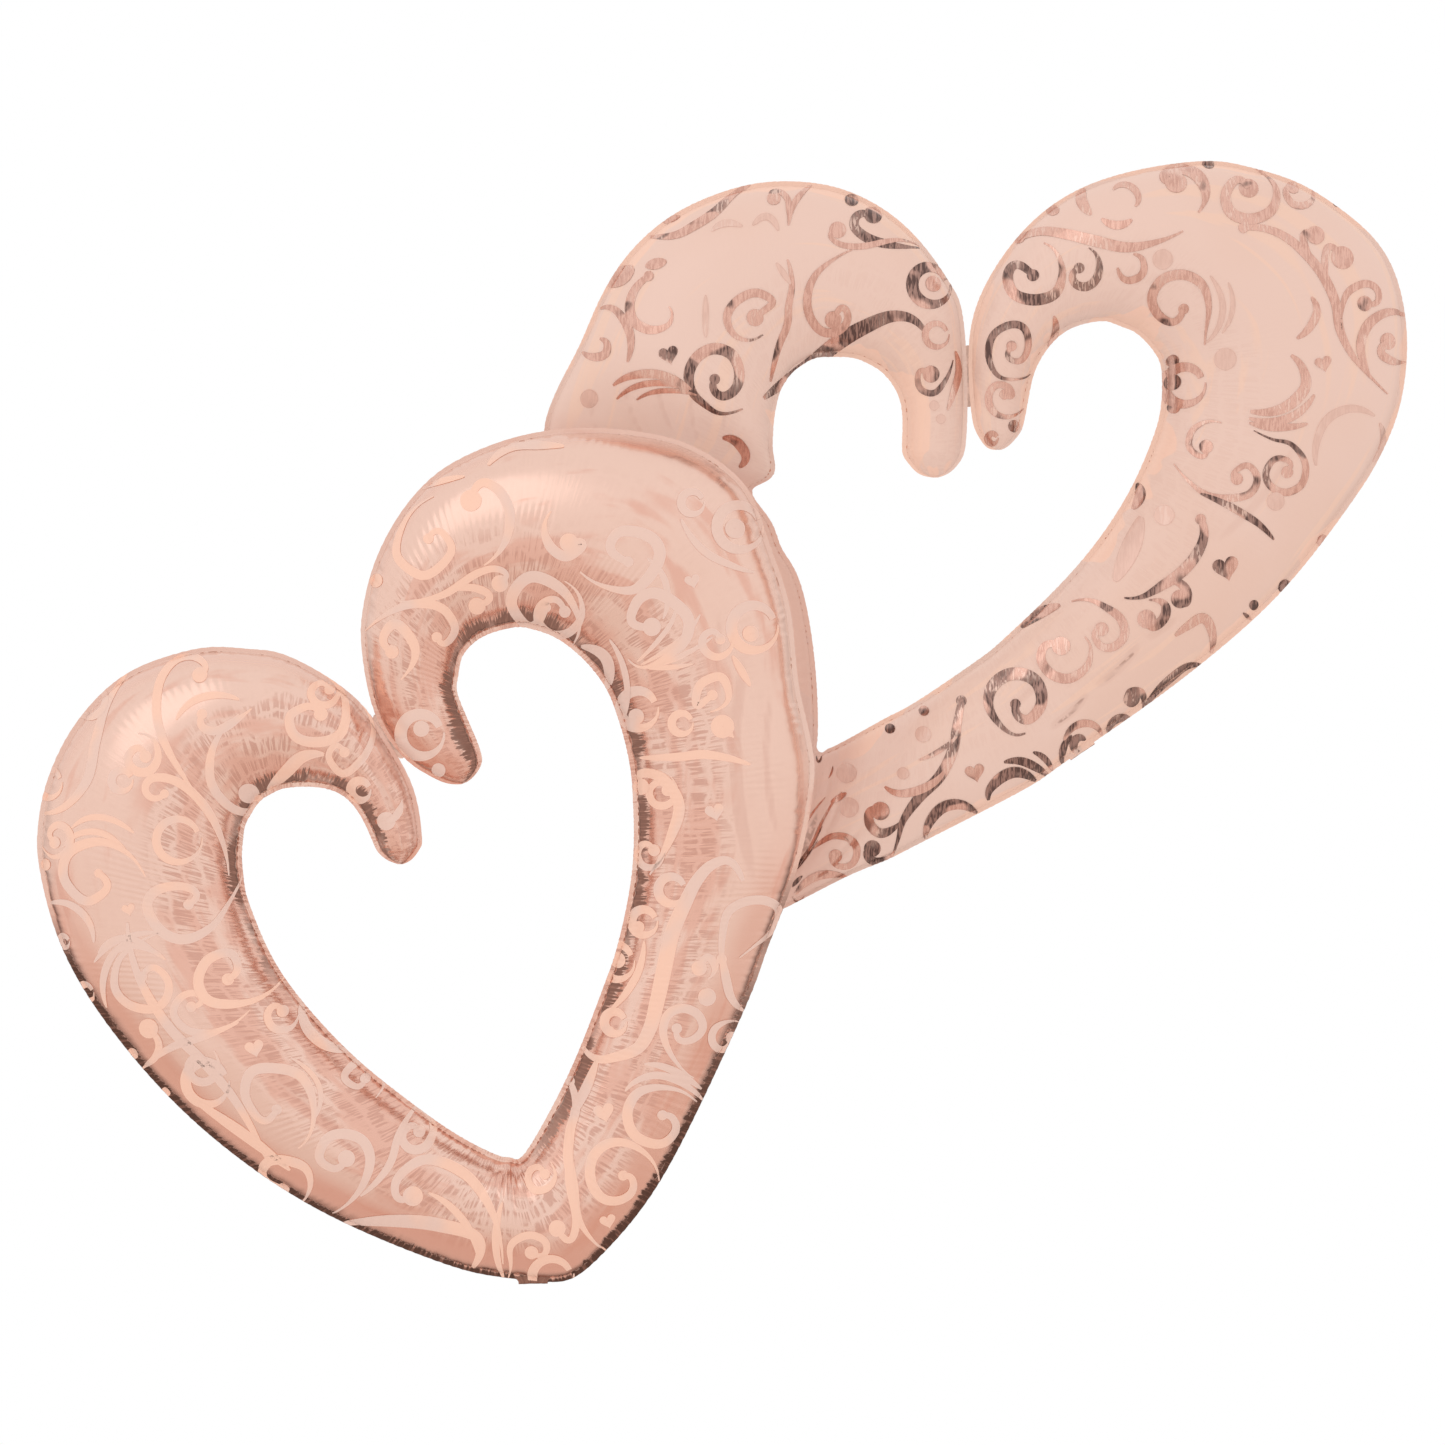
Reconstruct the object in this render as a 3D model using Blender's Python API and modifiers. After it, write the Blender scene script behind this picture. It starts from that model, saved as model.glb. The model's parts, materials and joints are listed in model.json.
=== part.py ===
"""Foil balloon of two linked open hearts, one passing behind the other.

Each heart is an inflated tube of a front and a rear film, heat-sealed along a
flat seam and bent into an open heart whose two curls touch at the top notch.
The rear heart runs behind the right arm of the front heart and is stuck to it
with two join pads. Each heart has an inflation tail with a two-ply valve,
folded back behind the seam.

The hearts stand upright in XZ, centred near the origin, and face -Y.
Lengths are millimetres, scaled to metres when the meshes are made.
"""

import math

import bmesh
import bpy
import numpy as np
from mathutils import Matrix, Vector

MM = 0.001

# Sides of a seam plane, as signs along Y
FRONT_SIDE = -1
REAR_SIDE = 1

# Films and seams
FILM = 0.4  # film thickness
SEAM_GAP = 0.3  # between the two films where they are sealed
FLANGE = 4.5  # flat sealed margin outside the tube
MIN_TUBE_SHARE = 0.45  # least share of the width left to the tube near the tips

# Tube section: half depth grows with half width and levels off on the wide lobes
PLUMP = 0.8
DEPTH_LIMIT = 75.0

# Seam planes, measured along Y
FRONT_Y = -24.0
REAR_Y = 10.0
CROSS_Y = 60.0  # rear heart's seam plane where it passes behind the front heart

# Fractions of the rear tube's run where it starts to go behind the front heart,
# is fully behind it, starts to come out and is clear again
CROSS_FROM = 0.215
CROSS_IN = 0.275
CROSS_OUT = 0.445
CROSS_TO = 0.53
CROSS_DEPTH = 22.0  # largest half depth behind the front heart
FLATTEN_RATE = 1.35  # the tube flattens this much faster than it moves back

# Film mesh
ROWS_FRONT = 84
ROWS_REAR = 88
SECTION_STEPS = 5  # facets across the tube between the two seam roots
TIP_MARGIN = 0.0025  # the films stop this fraction of the run short of a point
TIP_ROWS = np.array((0.0, 0.003, 0.007, 0.012, 0.02))  # close rows at each tip
BODY_START = 1.4 * TIP_ROWS[-1]  # the even rows lie between this and its mirror

# Edge curves
SAMPLES_PER_SPAN = 24
CENTRE_WEIGHT = 0.35  # shares of centreline and outer edge length in the run
OUTER_WEIGHT = 0.65

# Notch tabs: short sealed strips bridging the touching curls; ends are (x, z)
TAB_WIDTH = 8.0
TAB_THICK = 0.4
TAB_CLEAR = 0.3  # between the rear film and the tab
TAB_END_STEPS = 5
FRONT_NOTCH = ((-313.0, 5.0), (-287.0, -34.0))
REAR_NOTCH = ((220.5, 338.0), (220.5, 282.0))

# Join pads between the two tubes; places are (x, z)
PAD_RADIUS = 12.0
PAD_SEGMENTS = 24
PAD_RIM_SPOTS = 12  # places round the rim where the films are measured
PAD_FRONT_CLEAR = 0.35
PAD_REAR_CLEAR = 1.2
UPPER_PAD_AT = (-30.0, 108.0)
LOWER_PAD_AT = (1.0, -62.0)

# Point the rear heart swings about, on the upper pad's axis
SWING_POINT = (UPPER_PAD_AT[0], 37.0, UPPER_PAD_AT[1])

# Inflation tails
PLY = 0.3
PLY_GAP = 0.3
TAIL_LENGTH = 70.0
TAIL_ROOT_WIDTH = 26.0
TAIL_MOUTH_WIDTH = 34.0
VALVE_ROOT_WIDTH = 16.0
VALVE_MOUTH_WIDTH = 22.0
VALVE_SHORT = 3.0  # the valve ends this far short of the tail's mouth
MOUTH_CORNER = 4.0
CORNER_STEPS = 4
FOLD_OFFSET = 1.3  # crease distance from the seam edge and from the tail root
FOLD_DEG = 105.0  # tail folded back from straight out
OUTLINE_SAMPLES = 4001
ROOT_SEARCH = 30.0  # part of the outline, round the tail, that the crease clears

# Where the tails leave the outlines, and the way they point when straight: (x, z)
FRONT_TAIL_AT = (-171.0, -503.0)
FRONT_TAIL_OUT = (0.02, -1.0)
REAR_TAIL_AT = (322.0, -26.0)
REAR_TAIL_OUT = (0.56, -0.83)

# Sizes of the two hearts and the (x, z) shift that centres the pair on the origin
FRONT_SIZE = 0.9963
REAR_SIZE = 1.0015
CENTRE_SHIFT = (-1.1, -1.8)

# Stations along each tube, from the left curl's tip to the right curl's tip:
# (outer edge x, outer edge z, inner edge x, inner edge z)
FRONT_STATIONS = (
    (-288, -128, -292, -128), (-279, -123, -302, -124), (-272, -113, -309, -118), (-271, -101, -314, -109),
    (-279, -59, -325, -85), (-303, -15, -343, -65), (-335, 25, -368, -58), (-389, 58, -393, -59),
    (-423, 65, -404, -63), (-459, 67, -413, -68), (-495, 60, -420, -75), (-529, 47, -425, -83),
    (-558, 26, -430, -93), (-582, -2, -432, -106), (-599, -32, -433, -120), (-611, -66, -432, -135),
    (-616, -99, -430, -151), (-614, -133, -424, -170), (-596, -198, -405, -213), (-556, -268, -373, -258),
    (-497, -338, -331, -302), (-430, -396, -287, -338), (-349, -446, -242, -370), (-256, -485, -206, -389),
    (-207, -498, -195, -392), (-164, -503, -189, -393), (-135, -500, -186, -394), (-105, -475, -178, -389),
    (-61, -420, -159, -358), (-15, -333, -131, -301), (25, -245, -105, -234), (41, -201, -94, -201),
    (67, -131, -81, -135), (81, -61, -80, -73), (81, -27, -82, -45), (74, 6, -87, -19),
    (67, 42, -94, 5), (62, 92, -102, 26), (52, 132, -112, 42), (38, 172, -123, 55),
    (19, 214, -135, 66), (-25, 247, -146, 74), (-70, 260, -158, 80), (-112, 264, -171, 84),
    (-155, 262, -183, 86), (-196, 253, -196, 84), (-233, 238, -207, 81), (-261, 220, -218, 76),
    (-285, 194, -227, 69), (-304, 163, -234, 60), (-317, 130, -237, 50), (-324, 96, -239, 38),
    (-324, 63, -239, 26), (-312, 7, -231, 5), (-287, -31, -222, -16), (-269, -45, -218, -27),
    (-254, -53, -217, -37), (-243, -56, -223, -48), (-235, -56, -230, -54),
)
REAR_STATIONS = (
    (194, 220, 189, 220), (205, 225, 176, 224), (215, 237, 166, 235), (219, 256, 162, 249),
    (220, 303, 161, 286), (216, 364, 147, 312), (206, 392, 135, 321), (188, 419, 122, 327),
    (164, 446, 109, 329), (135, 467, 97, 329), (101, 481, 84, 328), (65, 486, 72, 322),
    (29, 484, 63, 315), (-7, 474, 56, 306), (-41, 458, 51, 296), (-70, 436, 48, 284),
    (-94, 408, 46, 272), (-113, 374, 45, 258), (-128, 340, 45, 245), (-144, 310, 47, 232),
    (-156, 284, 45, 223), (-161, 261, 37, 217), (-156, 236, 27, 211), (-144, 204, 31, 199),
    (-126, 168, 45, 179), (-108, 132, 54, 156), (-90, 92, 70, 126), (-66, 11, 83, 56),
    (-51, -70, 86, -7), (-36, -113, 85, -23), (-9, -157, 89, -28), (23, -176, 95, -25),
    (53, -170, 104, -21), (111, -140, 133, -5), (146, -125, 153, 6), (187, -104, 178, 20),
    (268, -62, 228, 54), (306, -37, 253, 74), (378, 13, 298, 117), (448, 67, 338, 163),
    (511, 127, 369, 212), (565, 197, 388, 256), (588, 233, 394, 277), (605, 271, 396, 294),
    (614, 312, 396, 310), (615, 355, 394, 324), (606, 400, 387, 336), (585, 436, 379, 345),
    (551, 465, 370, 352), (513, 487, 360, 356), (470, 500, 350, 360), (425, 504, 338, 361),
    (343, 488, 317, 356), (277, 448, 298, 343), (235, 389, 283, 321), (222, 335, 276, 297),
    (224, 281, 271, 270), (229, 260, 266, 258), (237, 248, 258, 249), (245, 245, 251, 245),
)

# Finishes
ROSE_FOIL = dict(colour=(0.80, 0.52, 0.42), metallic=1.0, roughness=0.22)
PLAIN_FOIL = dict(colour=(0.74, 0.50, 0.41), metallic=1.0, roughness=0.25)
PASTEL_PRINT = dict(colour=(0.85, 0.58, 0.48), metallic=0.2, roughness=0.45)
VALVE_FILM = dict(colour=(0.86, 0.84, 0.82), metallic=0.0, roughness=0.4)
SEAL_TAB = dict(colour=(0.82, 0.56, 0.46), metallic=0.6, roughness=0.35)
PAD_FOAM = dict(colour=(0.93, 0.92, 0.90), metallic=0.0, roughness=0.7)


# Tube shape

class Edges:
    """Smooth curve pair through the stations of one tube."""

    def __init__(self, stations, size):
        points = np.array(stations) * size + np.tile(CENTRE_SHIFT, 2)
        self.count = len(points)
        # Cubic B-spline control points that make the curves pass through the stations
        system = np.eye(self.count)
        for i in range(1, self.count - 1):
            system[i, i - 1 : i + 2] = (1 / 6, 4 / 6, 1 / 6)
        inner = np.linalg.solve(system, points)
        self.control = np.vstack([2 * inner[0] - inner[1], inner, 2 * inner[-1] - inner[-2]])
        # Run: a blend of centreline and outer edge length, from 0 to 1
        last = self.count - 1
        self.samples = np.linspace(0.0, last, SAMPLES_PER_SPAN * last + 1)
        fine = self.at(self.samples)
        middle = (fine[:, :2] + fine[:, 2:]) / 2
        centre_step = np.linalg.norm(np.diff(middle, axis=0), axis=1)
        outer_step = np.linalg.norm(np.diff(fine[:, :2], axis=0), axis=1)
        steps = CENTRE_WEIGHT * centre_step + OUTER_WEIGHT * outer_step
        run = np.concatenate([[0.0], np.cumsum(steps)])
        self.run = run / run[-1]

    def at(self, place):
        """Edge points at fractional station numbers."""
        i = np.clip(np.floor(place).astype(int), 0, self.count - 2)
        f = (place - i)[:, None]
        basis = (
            (1 - f) ** 3,
            3 * f**3 - 6 * f**2 + 4,
            -3 * f**3 + 3 * f**2 + 3 * f + 1,
            f**3,
        )
        return sum(weight * self.control[i + k] for k, weight in enumerate(basis)) / 6.0

    def along(self, run):
        """Edge points at fractions of the run."""
        return self.at(np.interp(run, self.run, self.samples))


def smooth(x):
    x = np.clip(x, 0.0, 1.0)
    return x * x * (3.0 - 2.0 * x)


def crossing(run):
    """1 where the rear tube is behind the front heart, 0 where it is free."""
    going_in = smooth((run - CROSS_FROM) / (CROSS_IN - CROSS_FROM))
    staying_in = smooth((CROSS_TO - run) / (CROSS_TO - CROSS_OUT))
    return going_in * staying_in


def widths_and_depths(points):
    """Half width over the flanges and half depth of the free tube."""
    half_width = np.linalg.norm(points[:, :2] - points[:, 2:], axis=1) / 2
    tube_half = np.maximum(half_width - FLANGE, 0.0)
    return half_width, DEPTH_LIMIT * np.tanh(PLUMP * tube_half / DEPTH_LIMIT)


def front_sections(run):
    """Edge points, seam plane, half width and half depth of the front tube."""
    points = FRONT_EDGES.along(run)
    half_width, depth = widths_and_depths(points)
    return points, np.full(len(run), FRONT_Y), half_width, depth


def rear_sections(run):
    """The same for the rear tube, set back and flattened where it crosses."""
    points = REAR_EDGES.along(run)
    half_width, depth = widths_and_depths(points)
    behind = crossing(run)
    plane = REAR_Y + (CROSS_Y - REAR_Y) * behind
    flattening = smooth(FLATTEN_RATE * behind)
    depth = depth + (np.minimum(depth, CROSS_DEPTH) - depth) * flattening
    return points, plane, half_width, depth


def film_grid(sections, side, rows):
    """Rows of points over the film on one side of a tube."""
    body = np.linspace(0.0, 1.0, rows - 2 * len(TIP_ROWS) + 2)[1:-1]
    body = BODY_START + (1 - 2 * BODY_START) * body
    run = np.concatenate([TIP_ROWS, body, 1 - TIP_ROWS[::-1]])
    points, plane, half_width, depth = sections(TIP_MARGIN + (1 - 2 * TIP_MARGIN) * run)
    depth[0] = depth[-1] = 0.0
    centre = (points[:, :2] + points[:, 2:]) / 2
    reach = (points[:, :2] - points[:, 2:]) / 2
    tube_share = np.maximum(1.0 - FLANGE / half_width, MIN_TUBE_SHARE)
    # Each column: share of the half width, share of the half depth
    columns = [(np.ones(rows), 0.0)]
    for angle in np.linspace(0.0, math.pi, SECTION_STEPS + 1):
        columns.append((math.cos(angle) * tube_share, math.sin(angle)))
    columns.append((-np.ones(rows), 0.0))
    grid = np.zeros((rows, len(columns), 3))
    for k, (across, bulge) in enumerate(columns):
        grid[:, k, 0] = centre[:, 0] + reach[:, 0] * across
        grid[:, k, 1] = plane + side * (SEAM_GAP / 2 + depth * bulge)
        grid[:, k, 2] = centre[:, 1] + reach[:, 1] * across
    return grid


def surface_y(grid, x, z, side):
    """Y of a film's facets at (x, z), the furthest out to that side."""
    hits = []
    rows, columns, _ = grid.shape
    for i in range(rows - 1):
        for k in range(columns - 1):
            corner, far = grid[i, k], grid[i + 1, k + 1]
            for second, third in ((grid[i + 1, k], far), (far, grid[i, k + 1])):
                u = second - corner
                v = third - corner
                area = u[0] * v[2] - v[0] * u[2]
                if abs(area) < 1e-9:  # facet with no area in XZ
                    continue
                dx = x - corner[0]
                dz = z - corner[2]
                u_share = (dx * v[2] - v[0] * dz) / area
                v_share = (u[0] * dz - dx * u[2]) / area
                if min(u_share, v_share, 1 - u_share - v_share) >= -1e-6:
                    hits.append(corner[1] + u_share * u[1] + v_share * v[1])
    return side * max(side * y for y in hits)


# Mesh and object helpers

def make_material(name, colour, metallic, roughness):
    material = bpy.data.materials.new(name)
    material.use_nodes = True
    shader = material.node_tree.nodes["Principled BSDF"]
    shader.inputs["Base Color"].default_value = (*colour, 1.0)
    shader.inputs["Metallic"].default_value = metallic
    shader.inputs["Roughness"].default_value = roughness
    material.diffuse_color = (*colour, 1.0)
    return material


def add_object(name, bm, finish, origin=(0.0, 0.0, 0.0)):
    """Object from a bmesh, with a material of its own."""
    mesh = bpy.data.meshes.new(name)
    bm.to_mesh(mesh)
    bm.free()
    mesh.materials.append(make_material(name + "_finish", **finish))
    ob = bpy.data.objects.new(name, mesh)
    balloon.objects.link(ob)
    ob.location = Vector(origin) * MM
    return ob


def plate(name, outline, thick, finish, matrix, level=0.0):
    """Flat plate: outline in its local XY plane, thickness centred on local Z = level."""
    bm = bmesh.new()
    bm.faces.new([bm.verts.new((x * MM, y * MM, level * MM)) for x, y in outline])
    bm.normal_update()
    ob = add_object(name, bm, finish)
    ob.matrix_world = matrix
    solid = ob.modifiers.new("ply", "SOLIDIFY")
    solid.thickness = thick * MM
    solid.offset = 0.0


def axes_matrix(x_axis, y_axis, z_axis, origin):
    matrix = Matrix((x_axis, y_axis, z_axis)).transposed().to_4x4()
    matrix.translation = Vector(origin) * MM
    return matrix


# Pieces

def film(name, grid, side, finish, origin=(0.0, 0.0, 0.0)):
    """Film sheet over a grid, thickened away from the tube."""
    rows, columns, _ = grid.shape
    bm = bmesh.new()
    verts = [
        [bm.verts.new((Vector(point) - Vector(origin)) * MM) for point in row] for row in grid
    ]
    for i in range(rows - 1):
        for k in range(columns - 1):
            bm.faces.new((verts[i][k], verts[i + 1][k], verts[i + 1][k + 1], verts[i][k + 1]))
    bm.normal_update()
    facing = sum(face.normal.y * face.calc_area() for face in bm.faces)
    if facing * side < 0:
        bmesh.ops.reverse_faces(bm, faces=bm.faces[:])
    ob = add_object(name, bm, finish, origin)
    solid = ob.modifiers.new("film", "SOLIDIFY")
    solid.thickness = FILM * MM
    solid.offset = 1.0
    solid.use_even_offset = False
    solid.use_rim = True


def rounded_strip(length, width):
    """Outline of a strip with round ends, centred on the origin, long along Y."""
    radius = width / 2
    points = []
    for sign in (1.0, -1.0):
        for k in range(TAB_END_STEPS + 1):
            angle = math.pi * k / TAB_END_STEPS
            y = length / 2 - radius + radius * math.sin(angle)
            points.append((sign * radius * math.cos(angle), sign * y))
    return points


def notch_tab(name, notch, plane):
    """Strip behind the two sealed margins where the curls touch."""
    y = plane + SEAM_GAP / 2 + FILM + TAB_CLEAR + TAB_THICK / 2
    top, bottom = (Vector((x, y, z)) for x, z in notch)
    span = top - bottom
    along = span.normalized()
    facing = Vector((0.0, -1.0, 0.0))
    matrix = axes_matrix(along.cross(facing), along, facing, (top + bottom) / 2)
    plate(name, rounded_strip(span.length, TAB_WIDTH), TAB_THICK, SEAL_TAB, matrix)


def join_pad(name, at, front_grid, rear_grid):
    """Round pad between the front heart's rear film and the rear heart's front film."""
    spots = [at] + [
        (at[0] + PAD_RADIUS * math.cos(angle), at[1] + PAD_RADIUS * math.sin(angle))
        for angle in np.linspace(0.0, 2 * math.pi, PAD_RIM_SPOTS, endpoint=False)
    ]
    film_back = max(surface_y(front_grid, x, z, REAR_SIDE) for x, z in spots)
    film_front = min(surface_y(rear_grid, x, z, FRONT_SIDE) for x, z in spots)
    pad_front = film_back + FILM + PAD_FRONT_CLEAR
    pad_rear = film_front - FILM - PAD_REAR_CLEAR
    bm = bmesh.new()
    bmesh.ops.create_cone(
        bm,
        cap_ends=True,
        segments=PAD_SEGMENTS,
        radius1=PAD_RADIUS * MM,
        radius2=PAD_RADIUS * MM,
        depth=(pad_rear - pad_front) * MM,
        matrix=Matrix.Rotation(math.pi / 2, 4, "X"),
    )
    add_object(name, bm, PAD_FOAM, (at[0], (pad_front + pad_rear) / 2, at[1]))


def tail_outline(root_width, mouth_width, length):
    """Tapered strip along Y from the fold offset, its mouth corners rounded."""
    end = FOLD_OFFSET + length
    corner_x = mouth_width / 2 - MOUTH_CORNER
    points = [(-root_width / 2, FOLD_OFFSET), (root_width / 2, FOLD_OFFSET)]
    for centre_x, first_angle in ((corner_x, 0.0), (-corner_x, math.pi / 2)):
        for k in range(CORNER_STEPS + 1):
            angle = first_angle + math.pi / 2 * k / CORNER_STEPS
            x = centre_x + MOUTH_CORNER * math.cos(angle)
            points.append((x, end - MOUTH_CORNER + MOUTH_CORNER * math.sin(angle)))
    return points


def tail(prefix, edges, at, out, plane):
    """Four plies folded back about the crease: outer film, two valve plies, inner film."""
    backward = Vector((0.0, 1.0, 0.0))
    outward = Vector((out[0], 0.0, out[1])).normalized()
    tangent = outward.cross(backward)
    # The crease clears the furthest part of the nearby outline
    outline = edges.along(np.linspace(0.0, 1.0, OUTLINE_SAMPLES))[:, :2]
    close = outline[np.linalg.norm(outline - np.array(at), axis=1) < ROOT_SEARCH]
    reach = max(float(x * outward.x + z * outward.z) for x, z in close)
    sideways = at[0] * tangent.x + at[1] * tangent.z
    crease = outward * (reach + FOLD_OFFSET) + tangent * sideways + backward * plane
    fold = math.radians(FOLD_DEG)
    away = outward * math.cos(fold) + backward * math.sin(fold)
    face = tangent.cross(away)  # turned to the inner side of the fold
    matrix = axes_matrix(tangent, away, face, crease)

    film_shape = tail_outline(TAIL_ROOT_WIDTH, TAIL_MOUTH_WIDTH, TAIL_LENGTH)
    valve_shape = tail_outline(VALVE_ROOT_WIDTH, VALVE_MOUTH_WIDTH, TAIL_LENGTH - VALVE_SHORT)
    stack = (
        ("outer_film", film_shape, PLAIN_FOIL),
        ("valve_outer_ply", valve_shape, VALVE_FILM),
        ("valve_inner_ply", valve_shape, VALVE_FILM),
        ("inner_film", film_shape, PLAIN_FOIL),
    )
    for k, (label, shape, finish) in enumerate(stack):
        level = (k - (len(stack) - 1) / 2) * (PLY + PLY_GAP)
        plate(prefix + "_" + label, shape, PLY, finish, matrix, level)


# Build

for leftover in list(bpy.data.objects):
    bpy.data.objects.remove(leftover, do_unlink=True)

balloon = bpy.data.collections.new("linked_hearts_foil_balloon")
bpy.context.scene.collection.children.link(balloon)

FRONT_EDGES = Edges(FRONT_STATIONS, FRONT_SIZE)
REAR_EDGES = Edges(REAR_STATIONS, REAR_SIZE)

front_grids = {
    side: film_grid(front_sections, side, ROWS_FRONT) for side in (FRONT_SIDE, REAR_SIDE)
}
rear_grids = {
    side: film_grid(rear_sections, side, ROWS_REAR) for side in (FRONT_SIDE, REAR_SIDE)
}

for heart, grids, front_finish, origin in (
    ("front_heart", front_grids, ROSE_FOIL, (0.0, 0.0, 0.0)),
    ("rear_heart", rear_grids, PASTEL_PRINT, SWING_POINT),
):
    film(heart + "_front_film", grids[FRONT_SIDE], FRONT_SIDE, front_finish, origin)
    film(heart + "_rear_film", grids[REAR_SIDE], REAR_SIDE, PLAIN_FOIL, origin)

notch_tab("front_notch_tab", FRONT_NOTCH, FRONT_Y)
notch_tab("rear_notch_tab", REAR_NOTCH, REAR_Y)

for name, at in (("upper_join_pad", UPPER_PAD_AT), ("lower_join_pad", LOWER_PAD_AT)):
    join_pad(name, at, front_grids[REAR_SIDE], rear_grids[FRONT_SIDE])

tail("front_tail", FRONT_EDGES, FRONT_TAIL_AT, FRONT_TAIL_OUT, FRONT_Y)
tail("rear_tail", REAR_EDGES, REAR_TAIL_AT, REAR_TAIL_OUT, REAR_Y)
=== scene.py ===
"""Looks of the linked-hearts foil balloon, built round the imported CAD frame.

Fine film meshes with pleated seams and creases stand in for the plain CAD films, the printed
scrolls are thin meshes laid on the films, and the tails, tabs and pads get their own pieces.
Lengths are millimetres until a mesh is made.
"""

import json
import math

import bpy
import numpy as np
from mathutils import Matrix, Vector
from mathutils.bvhtree import BVHTree


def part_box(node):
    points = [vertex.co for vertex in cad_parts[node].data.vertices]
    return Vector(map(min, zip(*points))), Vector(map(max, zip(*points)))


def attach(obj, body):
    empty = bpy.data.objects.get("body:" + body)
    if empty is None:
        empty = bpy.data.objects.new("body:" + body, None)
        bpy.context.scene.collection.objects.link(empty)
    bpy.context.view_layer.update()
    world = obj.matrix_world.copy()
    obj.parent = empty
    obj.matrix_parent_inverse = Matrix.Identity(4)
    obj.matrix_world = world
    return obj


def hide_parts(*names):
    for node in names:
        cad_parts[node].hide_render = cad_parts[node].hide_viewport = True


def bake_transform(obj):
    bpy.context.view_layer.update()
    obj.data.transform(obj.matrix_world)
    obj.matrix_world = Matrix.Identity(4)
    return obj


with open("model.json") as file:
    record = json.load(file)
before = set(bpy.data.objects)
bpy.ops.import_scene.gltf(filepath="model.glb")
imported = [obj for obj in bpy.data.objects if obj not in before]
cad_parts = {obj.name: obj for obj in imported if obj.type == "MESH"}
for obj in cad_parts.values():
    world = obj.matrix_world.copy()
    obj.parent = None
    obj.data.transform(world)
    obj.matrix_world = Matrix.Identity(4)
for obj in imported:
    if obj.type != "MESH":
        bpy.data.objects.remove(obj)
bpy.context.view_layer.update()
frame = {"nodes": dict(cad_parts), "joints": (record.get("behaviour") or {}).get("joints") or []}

MM = 0.001
FLANGE = 4.0
PLUMP = 0.8
DEPTH_LIMIT = 75.0
FRONT_Y = -24.0
REAR_Y = 10.0
CROSS_Y = 60.0
CROSS_DEPTH = 22.0
CROSS_FROM, CROSS_IN, CROSS_OUT, CROSS_TO = 0.215, 0.275, 0.445, 0.53
FRONT_SIZE, REAR_SIZE = 0.9963, 1.0015
CENTRE_SHIFT = (-1.1, -1.8)

# Stations along each tube: outer edge x, z, inner edge x, z, left curl tip to right curl tip
FRONT_STATIONS = (
    (-288, -128, -292, -128), (-279, -123, -302, -124), (-272, -113, -309, -118), (-271, -101, -314, -109),
    (-279, -59, -325, -85), (-303, -15, -343, -65), (-335, 25, -368, -58), (-389, 58, -393, -59),
    (-423, 65, -404, -63), (-459, 67, -413, -68), (-495, 60, -420, -75), (-529, 47, -425, -83),
    (-558, 26, -430, -93), (-582, -2, -432, -106), (-599, -32, -433, -120), (-611, -66, -432, -135),
    (-616, -99, -430, -151), (-614, -133, -424, -170), (-596, -198, -405, -213), (-556, -268, -373, -258),
    (-497, -338, -331, -302), (-430, -396, -287, -338), (-349, -446, -242, -370), (-256, -485, -206, -389),
    (-207, -498, -195, -392), (-164, -503, -189, -393), (-135, -500, -186, -394), (-105, -475, -178, -389),
    (-61, -420, -159, -358), (-15, -333, -131, -301), (25, -245, -105, -234), (41, -201, -94, -201),
    (67, -131, -81, -135), (81, -61, -80, -73), (81, -27, -82, -45), (74, 6, -87, -19),
    (67, 42, -94, 5), (62, 92, -102, 26), (52, 132, -112, 42), (38, 172, -123, 55),
    (19, 214, -135, 66), (-25, 247, -146, 74), (-70, 260, -158, 80), (-112, 264, -171, 84),
    (-155, 262, -183, 86), (-196, 253, -196, 84), (-233, 238, -207, 81), (-261, 220, -218, 76),
    (-285, 194, -227, 69), (-304, 163, -234, 60), (-317, 130, -237, 50), (-324, 96, -239, 38),
    (-324, 63, -239, 26), (-312, 7, -231, 5), (-287, -31, -222, -16), (-269, -45, -218, -27),
    (-254, -53, -217, -37), (-243, -56, -223, -48), (-235, -56, -230, -54),
)
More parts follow.
